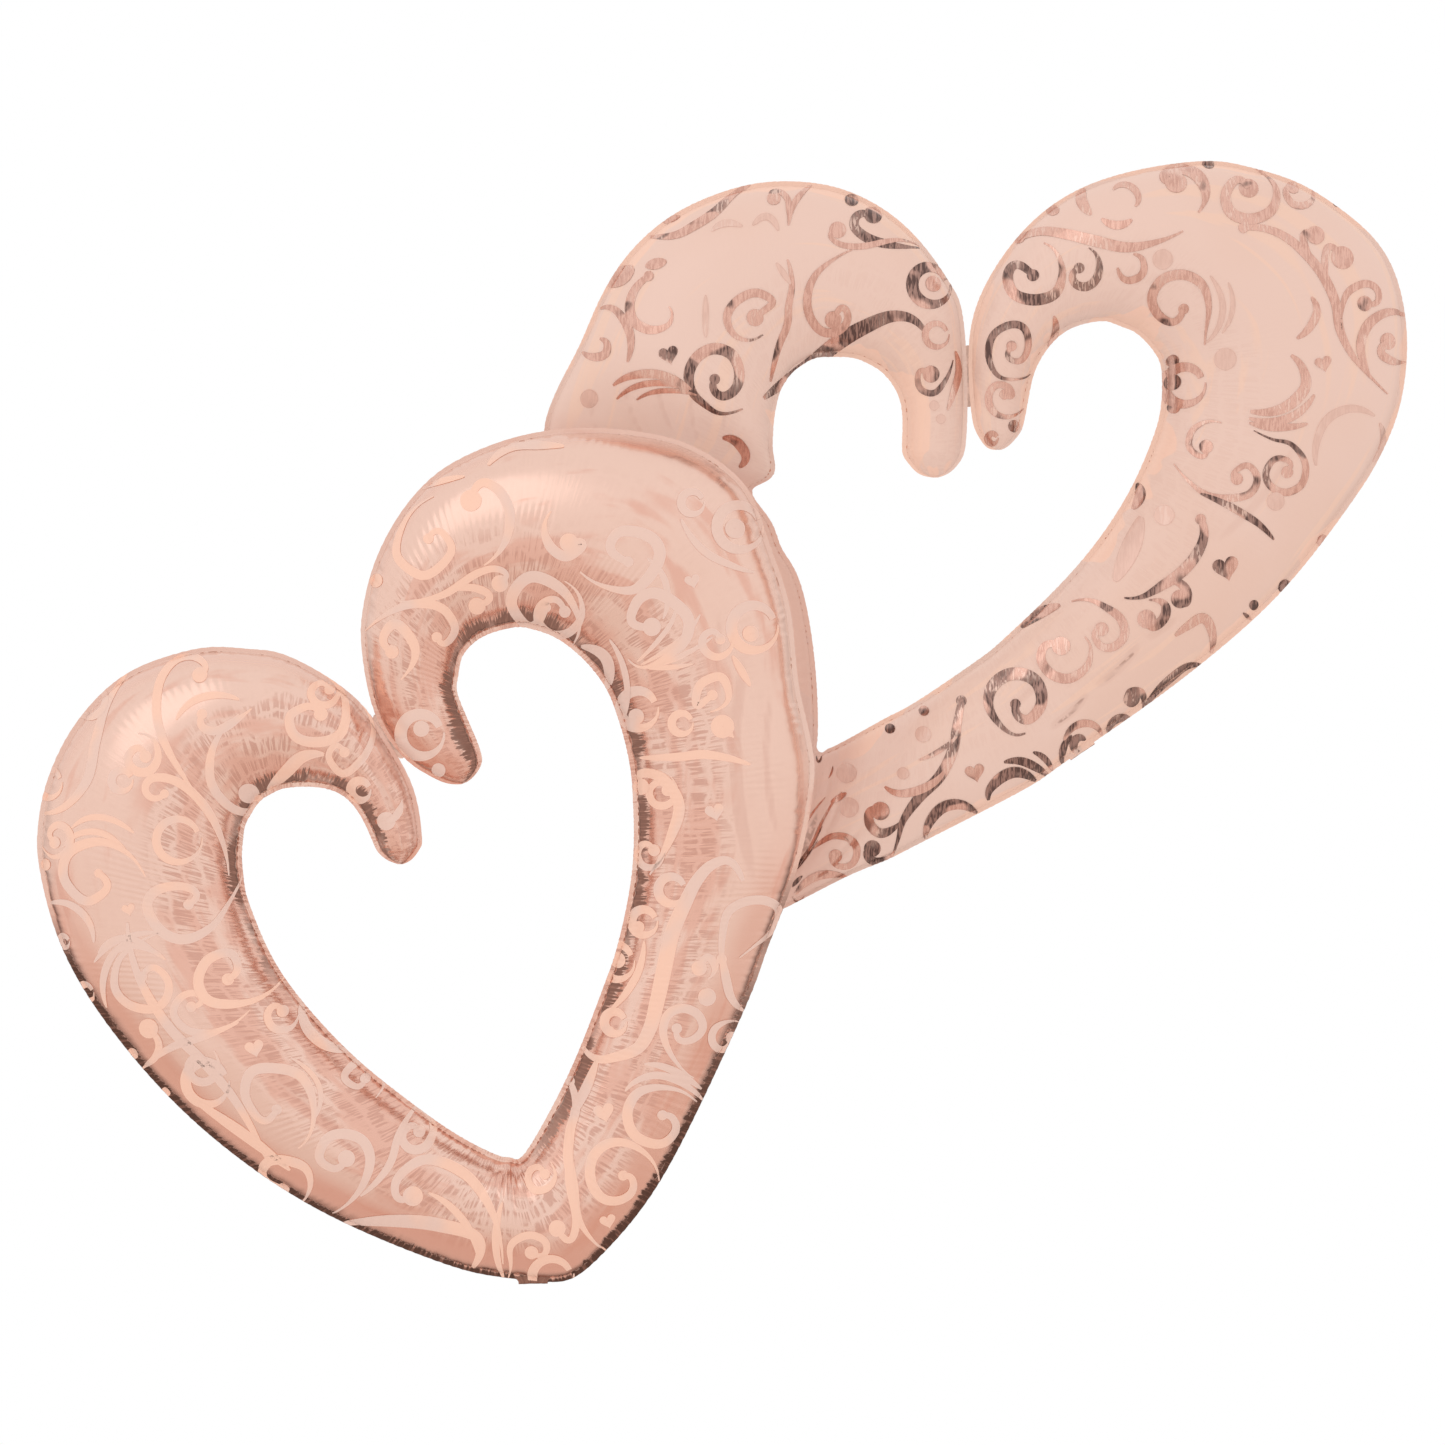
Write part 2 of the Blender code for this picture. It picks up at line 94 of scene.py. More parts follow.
REAR_STATIONS = (
    (194, 220, 189, 220), (205, 225, 176, 224), (215, 237, 166, 235), (219, 256, 162, 249),
    (220, 303, 161, 286), (216, 364, 147, 312), (206, 392, 135, 321), (188, 419, 122, 327),
    (164, 446, 109, 329), (135, 467, 97, 329), (101, 481, 84, 328), (65, 486, 72, 322),
    (29, 484, 63, 315), (-7, 474, 56, 306), (-41, 458, 51, 296), (-70, 436, 48, 284),
    (-94, 408, 46, 272), (-113, 374, 45, 258), (-128, 340, 45, 245), (-144, 310, 47, 232),
    (-156, 284, 45, 223), (-161, 261, 37, 217), (-156, 236, 27, 211), (-144, 204, 31, 199),
    (-126, 168, 45, 179), (-108, 132, 54, 156), (-90, 92, 70, 126), (-66, 11, 83, 56),
    (-51, -70, 86, -7), (-36, -113, 85, -23), (-9, -157, 89, -28), (23, -176, 95, -25),
    (53, -170, 104, -21), (111, -140, 133, -5), (146, -125, 153, 6), (187, -104, 178, 20),
    (268, -62, 228, 54), (306, -37, 253, 74), (378, 13, 298, 117), (448, 67, 338, 163),
    (511, 127, 369, 212), (565, 197, 388, 256), (588, 233, 394, 277), (605, 271, 396, 294),
    (614, 312, 396, 310), (615, 355, 394, 324), (606, 400, 387, 336), (585, 436, 379, 345),
    (551, 465, 370, 352), (513, 487, 360, 356), (470, 500, 350, 360), (425, 504, 338, 361),
    (343, 488, 317, 356), (277, 448, 298, 343), (235, 389, 283, 321), (222, 335, 276, 297),
    (224, 281, 271, 270), (229, 260, 266, 258), (237, 248, 258, 249), (245, 245, 251, 245),
)

# Front print, flat layout: width, radius of the ball it starts from, then the points it runs through
FRONT_SCROLLS = (
    (6.3, 2.7, (-498, -64), (-504, -68), (-512, -66), (-515, -58), (-510, -51), (-497, -50), (-481, -57), (-462, -77), (-449, -105), (-443, -138)),
    (7.2, 3.6, (-477, -163), (-470, -154), (-481, -147), (-502, -149), (-511, -156), (-513, -167), (-499, -188), (-480, -194), (-458, -184), (-444, -165), (-432, -138)),
    (7.2, 4.5, (-442, -230), (-434, -221), (-440, -207), (-459, -212), (-468, -231), (-461, -247), (-444, -252), (-414, -247), (-394, -229)),
    (5.4, 3.6, (-474, -254), (-465, -250), (-468, -243), (-481, -244), (-490, -259), (-477, -275), (-449, -275), (-422, -257)),
    (6.3, 3.6, (-518, -227), (-508, -219), (-495, -231), (-497, -248), (-509, -256), (-531, -252), (-543, -238), (-539, -213), (-524, -199), (-502, -188)),
    (7.2, 2.7, (-557, -135), (-549, -147), (-568, -160), (-589, -140), (-587, -121), (-577, -112), (-554, -107), (-531, -117), (-515, -138)),
    (7.2, 5.4, (-360, 7), (-369, 14), (-387, 5), (-383, -12), (-366, -18), (-344, -12), (-338, 5), (-343, 28), (-364, 46)),
    (5.4, 3.6, (-339, -27), (-346, -21), (-353, -30), (-341, -46), (-324, -34), (-315, -16), (-315, -2), (-324, 15)),
    (5.4, 8.1, (-302, -89), (-293, -84), (-288, -70)),
    (9, 0, (-409, -61), (-392, -45), (-376, -31), (-357, -29)),
    (6.3, 3.6, (-465, 7), (-465, -4), (-453, -8), (-440, -2), (-421, 12)),
    (6.3, 6.3, (-468, 42), (-463, 49), (-474, 58), (-490, 56), (-502, 41), (-506, 21), (-504, -2), (-495, -25), (-477, -55), (-463, -76)),
    (7.2, 0, (-536, 44), (-552, 16), (-561, -18), (-568, -52), (-589, -76), (-610, -82)),
    (5.4, 0, (-605, -163), (-585, -163), (-568, -176), (-562, -197)),
    (4.5, 0, (-562, -215), (-543, -197), (-520, -189), (-502, -188)),
    (5.4, 0, (-552, -256), (-554, -231), (-543, -206), (-522, -193)),
    (7.2, 0, (-531, -179), (-522, -225), (-495, -271), (-462, -305), (-434, -340), (-407, -394)),
    (8.1, 0, (-474, -338), (-448, -355), (-421, -374), (-387, -401)),
    (6.3, 9, (-425, -64), (-415, -73), (-426, -81), (-441, -76), (-456, -57), (-458, -36), (-451, -14), (-432, 7)),
    (5.4, 9, (-513, -274), (-504, -291), (-522, -312)),
    (5.4, 0, (-522, -312), (-493, -291), (-461, -280), (-432, -268)),
    (7.2, 0, (-398, -346), (-410, -356), (-426, -334), (-421, -313), (-405, -309), (-379, -315), (-367, -334), (-367, -364), (-379, -381)),
    (7.2, 7.2, (-336, -390), (-346, -399), (-360, -390), (-353, -372), (-339, -368), (-322, -374), (-315, -390), (-324, -418), (-351, -442)),
    (7.2, 9, (-277, -424), (-290, -426), (-292, -411), (-268, -392), (-231, -405), (-206, -439), (-197, -486)),
    (7.2, 4.5, (-395, -420), (-414, -409), (-407, -394), (-392, -392), (-373, -399), (-369, -414), (-379, -433)),
    (9.9, 0, (-342, -452), (-302, -447), (-255, -450), (-218, -464), (-225, -491)),
    (5.4, 5.4, (-171, -475), (-160, -477), (-158, -466), (-172, -459), (-189, -468), (-190, -489), (-193, -501)),
    (6.3, 7.2, (-148, -453), (-137, -464), (-131, -448), (-137, -408), (-135, -346)),
    (5.4, 0, (-197, -501), (-203, -464), (-197, -430)),
    (5.4, 3.6, (-321, -320), (-326, -327), (-339, -318), (-324, -304), (-305, -321), (-311, -337)),
    (7.2, 0, (-379, -250), (-373, -274), (-354, -291), (-333, -295)),
    (3.6, 0, (-386, -300), (-360, -328), (-367, -358)),
    (5.4, 0, (-275, -345), (-289, -367), (-298, -396), (-324, -424)),
    (7.2, 9.9, (-225, 198), (-215, 214), (-200, 207), (-190, 186), (-195, 159), (-213, 140)),
    (6.3, 0, (-263, 164), (-254, 171), (-242, 154), (-266, 131), (-290, 146), (-292, 159), (-281, 186), (-259, 202)),
    (7.2, 8.1, (-137, 160), (-124, 159), (-139, 148), (-153, 156), (-159, 173), (-153, 188)),
    (8.1, 0, (-84, 143), (-100, 155), (-94, 168), (-80, 170), (-61, 162), (-56, 148), (-77, 119), (-105, 121), (-127, 134)),
    (8.1, 0, (-158, 103), (-173, 86), (-189, 106), (-182, 123), (-169, 130), (-142, 117), (-128, 88), (-135, 69)),
    (8.1, 8.1, (-63, 85), (-81, 90), (-74, 110), (-59, 115), (-31, 93), (-33, 74), (-47, 60), (-71, 49), (-84, 56)),
    (8.1, 0, (-127, 68), (-105, 58), (-102, 37), (-109, 28)),
    (7.2, 5.4, (-296, 63), (-304, 74), (-293, 88), (-275, 65), (-288, 38)),
    (6.3, 0, (-256, 76), (-250, 70), (-240, 83), (-250, 101), (-272, 106), (-292, 101), (-321, 82)),
    (5.4, 7.2, (-199, 124), (-193, 132), (-203, 137), (-219, 133), (-252, 113), (-290, 108)),
    (5.4, 7.2, (-220, 104), (-208, 112), (-222, 120), (-247, 115)),
    (7.2, 0, (-210, 230), (-189, 247), (-162, 248), (-142, 247)),
    (4.5, 0, (-270, 210), (-252, 216), (-231, 220)),
    (6.3, 0, (-9, 24), (-17, 18), (-23, 14), (-20, 33), (-1, 40), (5, 20), (-11, 9)),
    (5.4, 10.8, (0, -4), (10, -14)),
    (8.1, 7.2, (-73, -58), (-74, -47), (-56, -49), (-39, -73), (-45, -100), (-65, -137)),
    (6.3, 0, (-74, -32), (-37, -31), (-16, -29), (25, -38)),
    (10.8, 0, (18, -142), (5, -124), (-10, -128), (-23, -142), (-33, -161), (-45, -189), (-52, -220), (-58, -248), (-65, -274), (-75, -291), (-96, -300), (-112, -302), (-126, -292)),
    (6.3, 0, (-1, -212), (0, -189), (5, -170), (19, -161), (38, -160), (50, -168), (45, -187), (28, -201), (15, -211)),
    (6.3, 0, (-1, -205), (3, -230), (8, -248), (19, -260)),
    (5.4, 0, (-37, 181), (-17, 153), (13, 138), (28, 134)), (5.4, 0, (9, 59), (25, 32)),
    (7.2, 0, (-112, -302), (-122, -328), (-131, -346), (-136, -361)),
    (7.2, 0, (-137, -323), (-131, -345), (-136, -365), (-138, -390), (-134, -413), (-129, -444), (-117, -464), (-104, -476)),
    (7.2, 0, (-54, -352), (-46, -354), (-42, -365), (-52, -377), (-65, -377), (-80, -368), (-85, -349), (-77, -333), (-61, -327), (-39, -330), (-23, -342)),
    (7.2, 0, (-89, -406), (-82, -408), (-81, -420), (-91, -428), (-106, -427), (-117, -413), (-117, -392), (-106, -379), (-91, -376), (-75, -382), (-63, -394), (-57, -413)),
    (5.4, 0, (-87, -330), (-75, -320), (-58, -316), (-37, -323), (-18, -340)),
    (5.4, 0, (-70, -306), (-54, -308), (-37, -316), (-19, -330)),
    (6.3, 0, (-41, -274), (-39, -284), (-27, -284), (-18, -274), (-23, -261), (-37, -256), (-49, -262), (-53, -276), (-49, -292), (-37, -310), (-26, -319)),
    (5.4, 4.5, (8, -284), (5, -292), (0, -295), (-9, -288), (-8, -276), (3, -269), (15, -270)),
    (5.4, 6.3, (-21, -220), (-13, -210), (-7, -220), (-13, -230)),
    (6.3, 4.5, (-141, 99), (-150, 110), (-163, 104), (-165, 90), (-153, 79), (-137, 81), (-126, 95), (-128, 113), (-141, 126)),
    (5.4, 3.6, (-2, 74), (-9, 81), (-18, 74), (-15, 63), (-4, 58), (7, 65), (9, 79)),
    (4.5, 0, (-67, 146), (-53, 130), (-49, 110), (-53, 92)),
    (5.4, 3.6, (-573, 20), (-567, 29), (-557, 26), (-555, 14), (-565, 5), (-578, 9), (-582, 23), (-575, 38), (-558, 45)),
    (5.4, 4.5, (-598, -108), (-603, -99), (-594, -92), (-584, -99), (-585, -113), (-598, -121), (-611, -112)),
    (6.3, 4.5, (-515, -31), (-522, -23), (-531, -32), (-525, -43), (-512, -44), (-504, -32), (-508, -16), (-522, -10)),
    (5.4, 0, (-488, 2), (-474, 18), (-454, 24), (-432, 20)),
    (5.4, 4.5, (-394, -259), (-401, -254), (-407, -262), (-401, -274), (-387, -274), (-380, -261)),
    (6.3, 4.5, (-461, -304), (-470, -299), (-477, -308), (-471, -320), (-458, -320), (-450, -308), (-454, -293)),
    (6.3, 4.5, (-272, -367), (-280, -362), (-287, -371), (-280, -382), (-267, -381), (-260, -367), (-265, -354), (-279, -347)),
    (5.4, 0, (-263, -421), (-243, -434), (-227, -454), (-220, -477)),
    (5.4, 3.6, (-159, -405), (-166, -399), (-174, -406), (-170, -418), (-158, -418), (-150, -408), (-154, -394)),
    (5.4, 0, (-101, -259), (-85, -241), (-74, -220), (-70, -196)),
    (5.4, 4.5, (-49, -61), (-56, -54), (-65, -61), (-61, -73), (-49, -74), (-41, -63), (-46, -49)),
    (5.4, 4.5, (-61, -115), (-69, -109), (-76, -117), (-71, -129), (-59, -129), (-51, -117)),
    (4.5, 0, (-101, 74), (-90, 54), (-85, 29), (-87, 5)),
    (5.4, 3.6, (-353, 29), (-360, 35), (-369, 28), (-364, 17), (-352, 16), (-345, 27), (-350, 40)),
    (4.5, 0, (-582, -95), (-567, -86), (-549, -86), (-525, -99)),
    (4.5, 0, (-590, -112), (-575, -100), (-555, -99), (-532, -115)),
    (4.5, 0, (-558, -207), (-547, -196), (-530, -193), (-506, -205)),
    (4.5, 0, (-553, -221), (-542, -205), (-522, -200), (-497, -212)),
    (3.6, 0, (-73, 51), (-49, 65), (-31, 80), (-20, 96)), (3.6, 0, (-70, 49), (-43, 56), (-22, 67), (-9, 76)),
    (3.6, 0, (-67, 48), (-45, 49), (-26, 52)), (3.6, 0, (-76, 54), (-58, 72), (-45, 90), (-41, 106)),
)
# x, z, radius, width
FRONT_RINGS = (
    (-486, -105, 23.4, 5.4), (-536, -52, 12.6, 5.4), (-325, -61, 12.6, 6.3), (-605, -55, 16.2, 5.4),
    (-591, -197, 8.1, 4.5), (-572, -243, 10.8, 5.4), (-461, -322, 24.3, 7.2), (-153, -498, 22.5, 6.3),
    (-75, 12, 21.6, 7.2), (-270, -11, 24.3, 8.1), (-36, -1, 12.6, 5.4), (-45, -150, 16.2, 6.3),
    (15, 175, 25.2, 7.2), (-27, 196, 13.5, 5.4), (28, 85, 25.2, 7.2), (-70, -179, 15.3, 6.3),
    (-95, -215, 19.8, 6.3), (-96, -269, 13.5, 6.3),
)
# x, z, radius
FRONT_BALLS = (
    (-608, -128, 5.4), (-530, -298, 5.4), (-501, -333, 4.5), (-77, 5, 7.2), (-270, -6, 7.2), (-255, -43, 6.3),
    (-311, 127, 6.3), (11, 173, 9), (-94, -214, 7.2), (-75, -184, 5.4), (-101, -277, 4.5), (-14, -246, 8.1),
    (25, 79, 7.2),
)
# x, z, width
FRONT_HEARTS = (
    (-530, -167, 12.6), (-418, -291, 18), (-27, 126, 14.4), (-7, -80, 18), (-106, -349, 19.8),
    (-103, -447, 15.3),
)
# Rear print: width, ball radius, 1 where the bare foil lies in shadow, points
REAR_SCROLLS = (
    (7.2, 0, 0, (25, 484), (10, 474), (-8, 456), (-26, 444), (-43, 436), (-66, 437)),
    (5.4, 0, 0, (-54, 450), (-38, 455)),
    (4.5, 5.4, 0, (46, 469), (43, 474), (50, 476), (58, 469), (59, 456), (59, 444)),
    (4.5, 0, 0, (80, 483), (71, 474), (63, 462), (59, 444)),
    (7.2, 8.1, 1, (135, 455), (121, 454), (118, 444), (128, 434), (146, 428), (177, 426)),
    (4.5, 7.2, 0, (103, 440), (96, 436), (103, 428), (121, 425), (159, 432), (177, 428)),
    (6.3, 7.2, 0, (99, 360), (108, 371), (112, 360), (103, 350), (89, 350), (78, 363), (76, 381), (83, 399), (99, 413), (116, 422)),
    (10.8, 0, 1, (37, 290), (55, 305), (83, 325), (103, 340), (126, 353), (152, 363), (169, 361), (181, 350)),
    (4.5, 7.2, 1, (187, 312), (177, 315), (177, 300), (189, 295), (199, 305), (207, 325)),
    (5.4, 0, 0, (209, 333), (212, 315), (207, 295), (202, 280)), (14.4, 0, 0, (-103, 393), (-80, 408)),
    (8.1, 0, 0, (-69, 408), (-50, 412)),
    (7.2, 0, 0, (-66, 399), (-79, 386), (-83, 371), (-79, 358), (-63, 350), (-48, 355), (-45, 365), (-48, 371)),
    (6.3, 0, 0, (-110, 372), (-99, 371), (-89, 361), (-82, 343), (-85, 322)),
    (6.3, 0, 0, (-110, 344), (-104, 340), (-105, 330), (-117, 328), (-126, 333)),
    (6.3, 7.2, 0, (29, 361), (39, 369), (45, 375), (30, 383), (12, 375), (4, 361), (10, 346), (23, 341), (36, 346)),
    (8.1, 0, 1, (-7, 306), (-8, 297), (0, 291), (11, 297), (15, 312), (8, 328), (-8, 333), (-23, 325), (-30, 310), (-27, 295), (-15, 283), (-2, 276), (18, 280)),
    (6.3, 0, 0, (-98, 302), (-81, 310), (-55, 310), (-28, 297)),
    (4.5, 0, 0, (-95, 290), (-79, 300), (-55, 303), (-30, 296)),
    (3.6, 0, 0, (-77, 289), (-63, 295), (-43, 296), (-23, 292)), (4.5, 0, -1, (-15, 381), (-15, 343)),
    (5.4, 0, 0, (58, 413), (62, 391), (59, 371), (58, 356), (50, 335), (43, 305)),
    (4.5, 0, -1, (48, 410), (61, 391)), (5.4, 0, -1, (-10, 439), (2, 446), (18, 443)),
    (5.4, 0, -1, (27, 444), (40, 452), (50, 439)), (7.2, 0, 0, (0, 255), (12, 252), (21, 239), (15, 230)),
    (2.7, 0, 1, (-4, 234), (8, 225)), (8.1, 0, 0, (326, 480), (322, 469), (330, 454)),
    (5.4, 0, 0, (350, 477), (359, 482), (369, 477), (372, 466), (369, 461)),
    (6.3, 0, 0, (339, 450), (353, 444), (366, 449)),
    (9.9, 9.9, 0, (406, 483), (396, 488), (409, 497), (425, 490), (432, 472), (425, 455)),
    (8.1, 9, 0, (471, 478), (462, 486), (450, 472), (454, 455), (472, 449), (491, 458), (496, 477), (488, 492), (480, 498)),
    (5.4, 5.4, 0, (512, 480), (505, 477), (510, 464), (522, 463), (531, 472), (530, 482)),
    (4.5, 0, 1, (549, 469), (557, 464)),
    (8.1, 0, 0, (267, 435), (285, 440), (306, 437), (333, 430), (361, 424), (386, 428), (411, 438)),
    (8.1, 4.5, 1, (278, 400), (262, 410), (256, 400), (261, 384), (279, 378), (298, 384), (304, 403), (298, 421), (288, 429)),
    (6.3, 0, 1, (319, 406), (313, 400), (316, 392), (327, 390), (336, 400), (335, 416), (327, 424)),
    (5.4, 0, 0, (353, 406), (361, 395), (375, 400), (375, 413), (367, 418)),
    (7.2, 0, 0, (412, 369), (404, 358), (391, 364), (384, 379), (393, 395), (412, 399), (428, 390), (434, 371), (432, 350), (431, 337)),
    (4.5, 0, -1, (435, 398), (446, 374), (443, 353), (432, 339)),
    (3.6, 0, -1, (451, 392), (455, 369), (446, 347)),
    (5.4, 0, 1, (259, 337), (256, 327), (267, 324), (274, 337), (270, 353), (259, 356), (243, 347), (239, 327), (248, 310), (267, 308), (277, 313)),
    (5.4, 0, 0, (253, 294), (260, 292), (257, 300), (245, 302), (239, 292), (243, 279), (256, 274), (271, 282)),
    (5.4, 0, 0, (297, 364), (299, 350), (293, 338)),
    (7.2, 0, 0, (465, 441), (486, 440), (504, 432), (522, 416), (536, 398), (547, 374), (551, 350), (562, 328), (578, 310), (596, 294)),
    (5.4, 8.1, 0, (530, 435), (520, 437), (520, 424), (525, 413), (536, 400)),
    (5.4, 10.8, 0, (554, 415), (542, 425), (538, 414), (538, 402), (541, 387)),
    (5.4, 6.3, 0, (574, 374), (586, 376), (586, 387), (576, 392), (559, 384), (553, 369), (553, 350)),
    (7.2, 0, 0, (615, 366), (596, 367), (578, 356), (570, 337), (573, 321), (579, 308)),
    (6.3, 7.2, 0, (596, 341), (589, 331), (599, 324), (615, 324)),
    (6.3, 0, 0, (525, 379), (530, 366), (522, 350), (512, 342)),
    (8.1, 0, 0, (507, 327), (517, 316), (520, 300), (507, 284), (491, 277), (471, 277)),
    (6.3, 0, 0, (528, 292), (514, 276), (494, 268), (470, 271)),
    (5.4, 0, 0, (522, 266), (504, 263), (486, 263), (470, 267)),
    (4.5, 5.4, 0, (432, 246), (430, 237), (418, 245), (420, 260), (432, 268), (446, 267)),
    (5.4, 4.5, 1, (504, 223), (507, 231), (494, 235), (485, 223), (488, 212), (502, 205), (517, 212), (520, 231), (507, 248), (491, 252), (474, 260)),
    (5.4, 4.5, 0, (459, 217), (455, 220), (468, 229), (477, 218), (472, 205), (457, 200), (435, 202), (420, 212), (404, 231)),
    (5.4, 0, 1, (427, 204), (446, 196), (468, 184), (480, 176), (493, 163)),
    (7.2, 0, 1, (373, 215), (375, 204), (368, 191)),
    (6.3, 0, -1, (584, 274), (562, 280), (541, 271), (531, 252), (530, 229)),
    (5.4, 0, -1, (589, 268), (594, 252), (586, 234)),
    (13.5, 0, -1, (375, 184), (369, 165), (360, 144), (351, 126)),
    (8.1, 0, 1, (427, 181), (430, 167), (423, 149), (409, 133), (393, 122), (375, 112), (359, 111)),
    (6.3, 8.1, 1, (409, 110), (414, 105), (415, 117), (406, 125), (393, 123)),
    (7.2, 8.1, 1, (379, 92), (384, 85), (395, 94), (395, 105), (381, 109)),
    (6.3, 5.4, 0, (339, 83), (333, 80), (338, 68), (349, 67), (359, 77), (356, 92), (342, 103), (329, 109), (313, 108)),
    (8.1, 0, 1, (269, 85), (282, 96), (303, 105)),
    (7.2, 8.1, 0, (303, 68), (290, 69), (285, 57), (294, 43), (310, 39), (326, 50), (329, 67), (324, 76)),
    (9, 0, 1, (262, 16), (264, 6), (273, 2), (285, 16), (282, 34), (271, 42), (255, 42), (242, 32), (238, 16), (246, 0), (260, -11), (271, -10)),
    (8.1, 0, 1, (239, -70), (239, -62), (251, -49), (264, -45), (282, -53)),
    (6.3, 0, 1, (252, -36), (267, -35), (280, -40), (294, -49)),
    (4.5, 0, 1, (278, -27), (288, -32), (297, -44)), (5.4, 0, 1, (306, -38), (306, -23), (313, -12)),
    (5.4, 0, 0, (306, -16), (317, -3), (331, -2), (342, -12)),
    (6.3, 0, 1, (326, -16), (319, -14), (315, -21), (322, -28)),
    (6.3, 0, 1, (347, -10), (351, 0), (360, 4), (368, 2)),
    (5.4, 7.2, 1, (367, 21), (363, 26), (375, 27), (379, 16), (378, 11)),
    (6.3, 0, 1, (381, 14), (390, 27), (405, 41), (418, 50), (432, 51)),
    (7.2, 0, 0, (405, 77), (418, 87), (430, 93), (438, 83), (440, 62)), (2.7, 0, 1, (467, 98), (476, 92)),
    (4.5, 0, 0, (98, -73), (112, -64)),
    (5.4, 5.4, 0, (102, -121), (98, -123), (105, -130), (117, -128), (121, -114), (114, -105), (100, -103), (87, -110), (72, -123)),
    (6.3, 0, 0, (66, -156), (77, -144), (91, -138), (112, -140)),
    (7.2, 8.1, 1, (142, -80), (133, -80), (133, -92), (142, -100), (153, -96), (162, -87)),
    (6.3, 7.2, 1, (135, -114), (130, -117), (135, -125), (146, -125), (155, -117)),
    (8.1, 0, 1, (214, 19), (210, -2), (206, -25), (195, -48), (176, -68), (162, -89), (158, -105), (153, -122)),
    (6.3, 0, 0, (146, -58), (158, -64), (176, -61), (192, -52), (199, -43)),
    (3.6, 0, 0, (176, -34), (192, -27), (210, -13)),
    (8.1, 0, 1, (183, -105), (185, -92), (197, -77), (213, -74), (229, -82)),
    # the thin strokes below are painted crease shade: the fan of creases by the lower join, laid as strips of bare foil
    (1.8, 0, 2, (65, -136), (73, -122), (81, -111), (90, -94)), (1.3, 0, 2, (68, -133), (76, -122), (86, -107)),
    (2.0, 0, 0, (67, -132), (80, -111), (90, -90), (99, -74), (108, -63)),
    (1.4, 0, 0, (61, -126), (64, -117), (68, -108)), (1.8, 0, 0, (59, -131), (65, -113), (75, -92), (93, -68)),
    (1.4, 0, 0, (56, -130), (60, -115), (62, -103)), (1.1, 0, 1, (57, -137), (62, -130), (65, -122)),
    (1.6, 0, 2, (85, -31), (87, -37), (90, -31)), (1.3, 0, 1, (96, -51), (99, -45), (100, -40)),
    (3.1, 0, 1, (63, -149), (68, -143), (72, -139)), (1.4, 0, 2, (63, -158), (67, -163), (74, -158)),
    (1.4, 0, 1, (101, -104), (107, -103), (111, -105), (116, -112)),
)
# x, z, radius, width, shaded
REAR_RINGS = (
    (187, 392, 22.5, 8.1, 1), (192, 347, 13.5, 4.5, 0), (243, 255, 7.2, 4.5, 0), (414, 302, 21.6, 7.2, 0),
)
# x, z, radius, shaded
REAR_BALLS = (
    (116, 469, 6.3, 1), (189, 393, 7.2, 0), (190, 284, 4.5, -1), (196, 272, 4.5, -1), (-120, 291, 8.1, -1),
    (393, 413, 9, -1), (262, 266, 5.4, 1), (404, 305, 7.2, 1), (404, 324, 5.4, 1), (405, 282, 5.4, 1),
    (449, 324, 9.9, -1), (494, 197, 8.1, -1), (395, 185, 9, -1), (540, 163, 5.4, 1), (506, 122, 6.3, 1),
    (477, 105, 4.5, 1), (112, -46, 9, -1), (114, -77, 9, -1), (162, -46, 5.4, -1), (181, 10, 4.5, 1),
    (151, -6, 4.5, 1), (180, -11, 7.2, -1), (437, 502, 5.4, 1), (297, 460, 5.4, 0),
)
# x, z, width, shaded
REAR_HEARTS = (
    (-48, 328, 18.9, 1), (536, 320, 16.2, 0), (450, 138, 25.2, 1), (226, -45, 18.9, 1),
)


# ---------------------------------------------------------------- tube shape


def smooth(x):
    x = np.clip(x, 0.0, 1.0)
    return x * x * (3.0 - 2.0 * x)


def waves(seed, *coords, terms=6, spread=1.0):
    """Smooth repeatable unevenness, about -1 to 1, over any coordinates."""
    rng = np.random.RandomState(seed)
    total = 0.0
    for _ in range(terms):
        angle = rng.uniform(0.0, 2.0 * math.pi, len(coords))
        rate = rng.uniform(0.5, 1.6) * spread
        direction = rng.normal(size=len(coords))
        direction = direction / np.linalg.norm(direction) if len(coords) > 1 else np.array([1.0])
        phase = sum(c * d * rate * 2.0 * math.pi for c, d in zip(coords, direction))
        total = total + np.sin(phase + angle[0])
    return total / math.sqrt(terms * 1.2)


class Edges:
    def __init__(self, stations, size):
        points = np.array(
            [[c * size + CENTRE_SHIFT[k % 2] for k, c in enumerate(row)] for row in stations]
        )
        n = len(points)
        system = np.zeros((n, n))
        for i in range(1, n - 1):
            system[i, i - 1 : i + 2] = (1 / 6, 4 / 6, 1 / 6)
        system[0, 0] = system[-1, -1] = 1.0
        c = np.linalg.solve(system, points)
        self.control = np.vstack([2 * c[0] - c[1], c, 2 * c[-1] - c[-2]])
        self.count = n
        self.t = np.linspace(0.0, n - 1.0, 24 * (n - 1) + 1)
        fine = self.at(self.t)
        middle = (fine[:, :2] + fine[:, 2:]) / 2
        step = np.linalg.norm(np.diff(middle, axis=0), axis=1)
        outer = np.linalg.norm(np.diff(fine[:, :2], axis=0), axis=1)
        run = np.concatenate([[0.0], np.cumsum(0.35 * step + 0.65 * outer)])
        self.run = run / run[-1]

    def at(self, t):
        i = np.clip(np.floor(t).astype(int), 0, self.count - 2)
        f = (t - i)[:, None]
        basis = (
            (1 - f) ** 3,
            3 * f**3 - 6 * f**2 + 4,
            -3 * f**3 + 3 * f**2 + 3 * f + 1,
            f**3,
        )
        return sum(b * self.control[i + k] for k, b in enumerate(basis)) / 6.0

    def along(self, u):
        return self.at(np.interp(u, self.run, self.t))


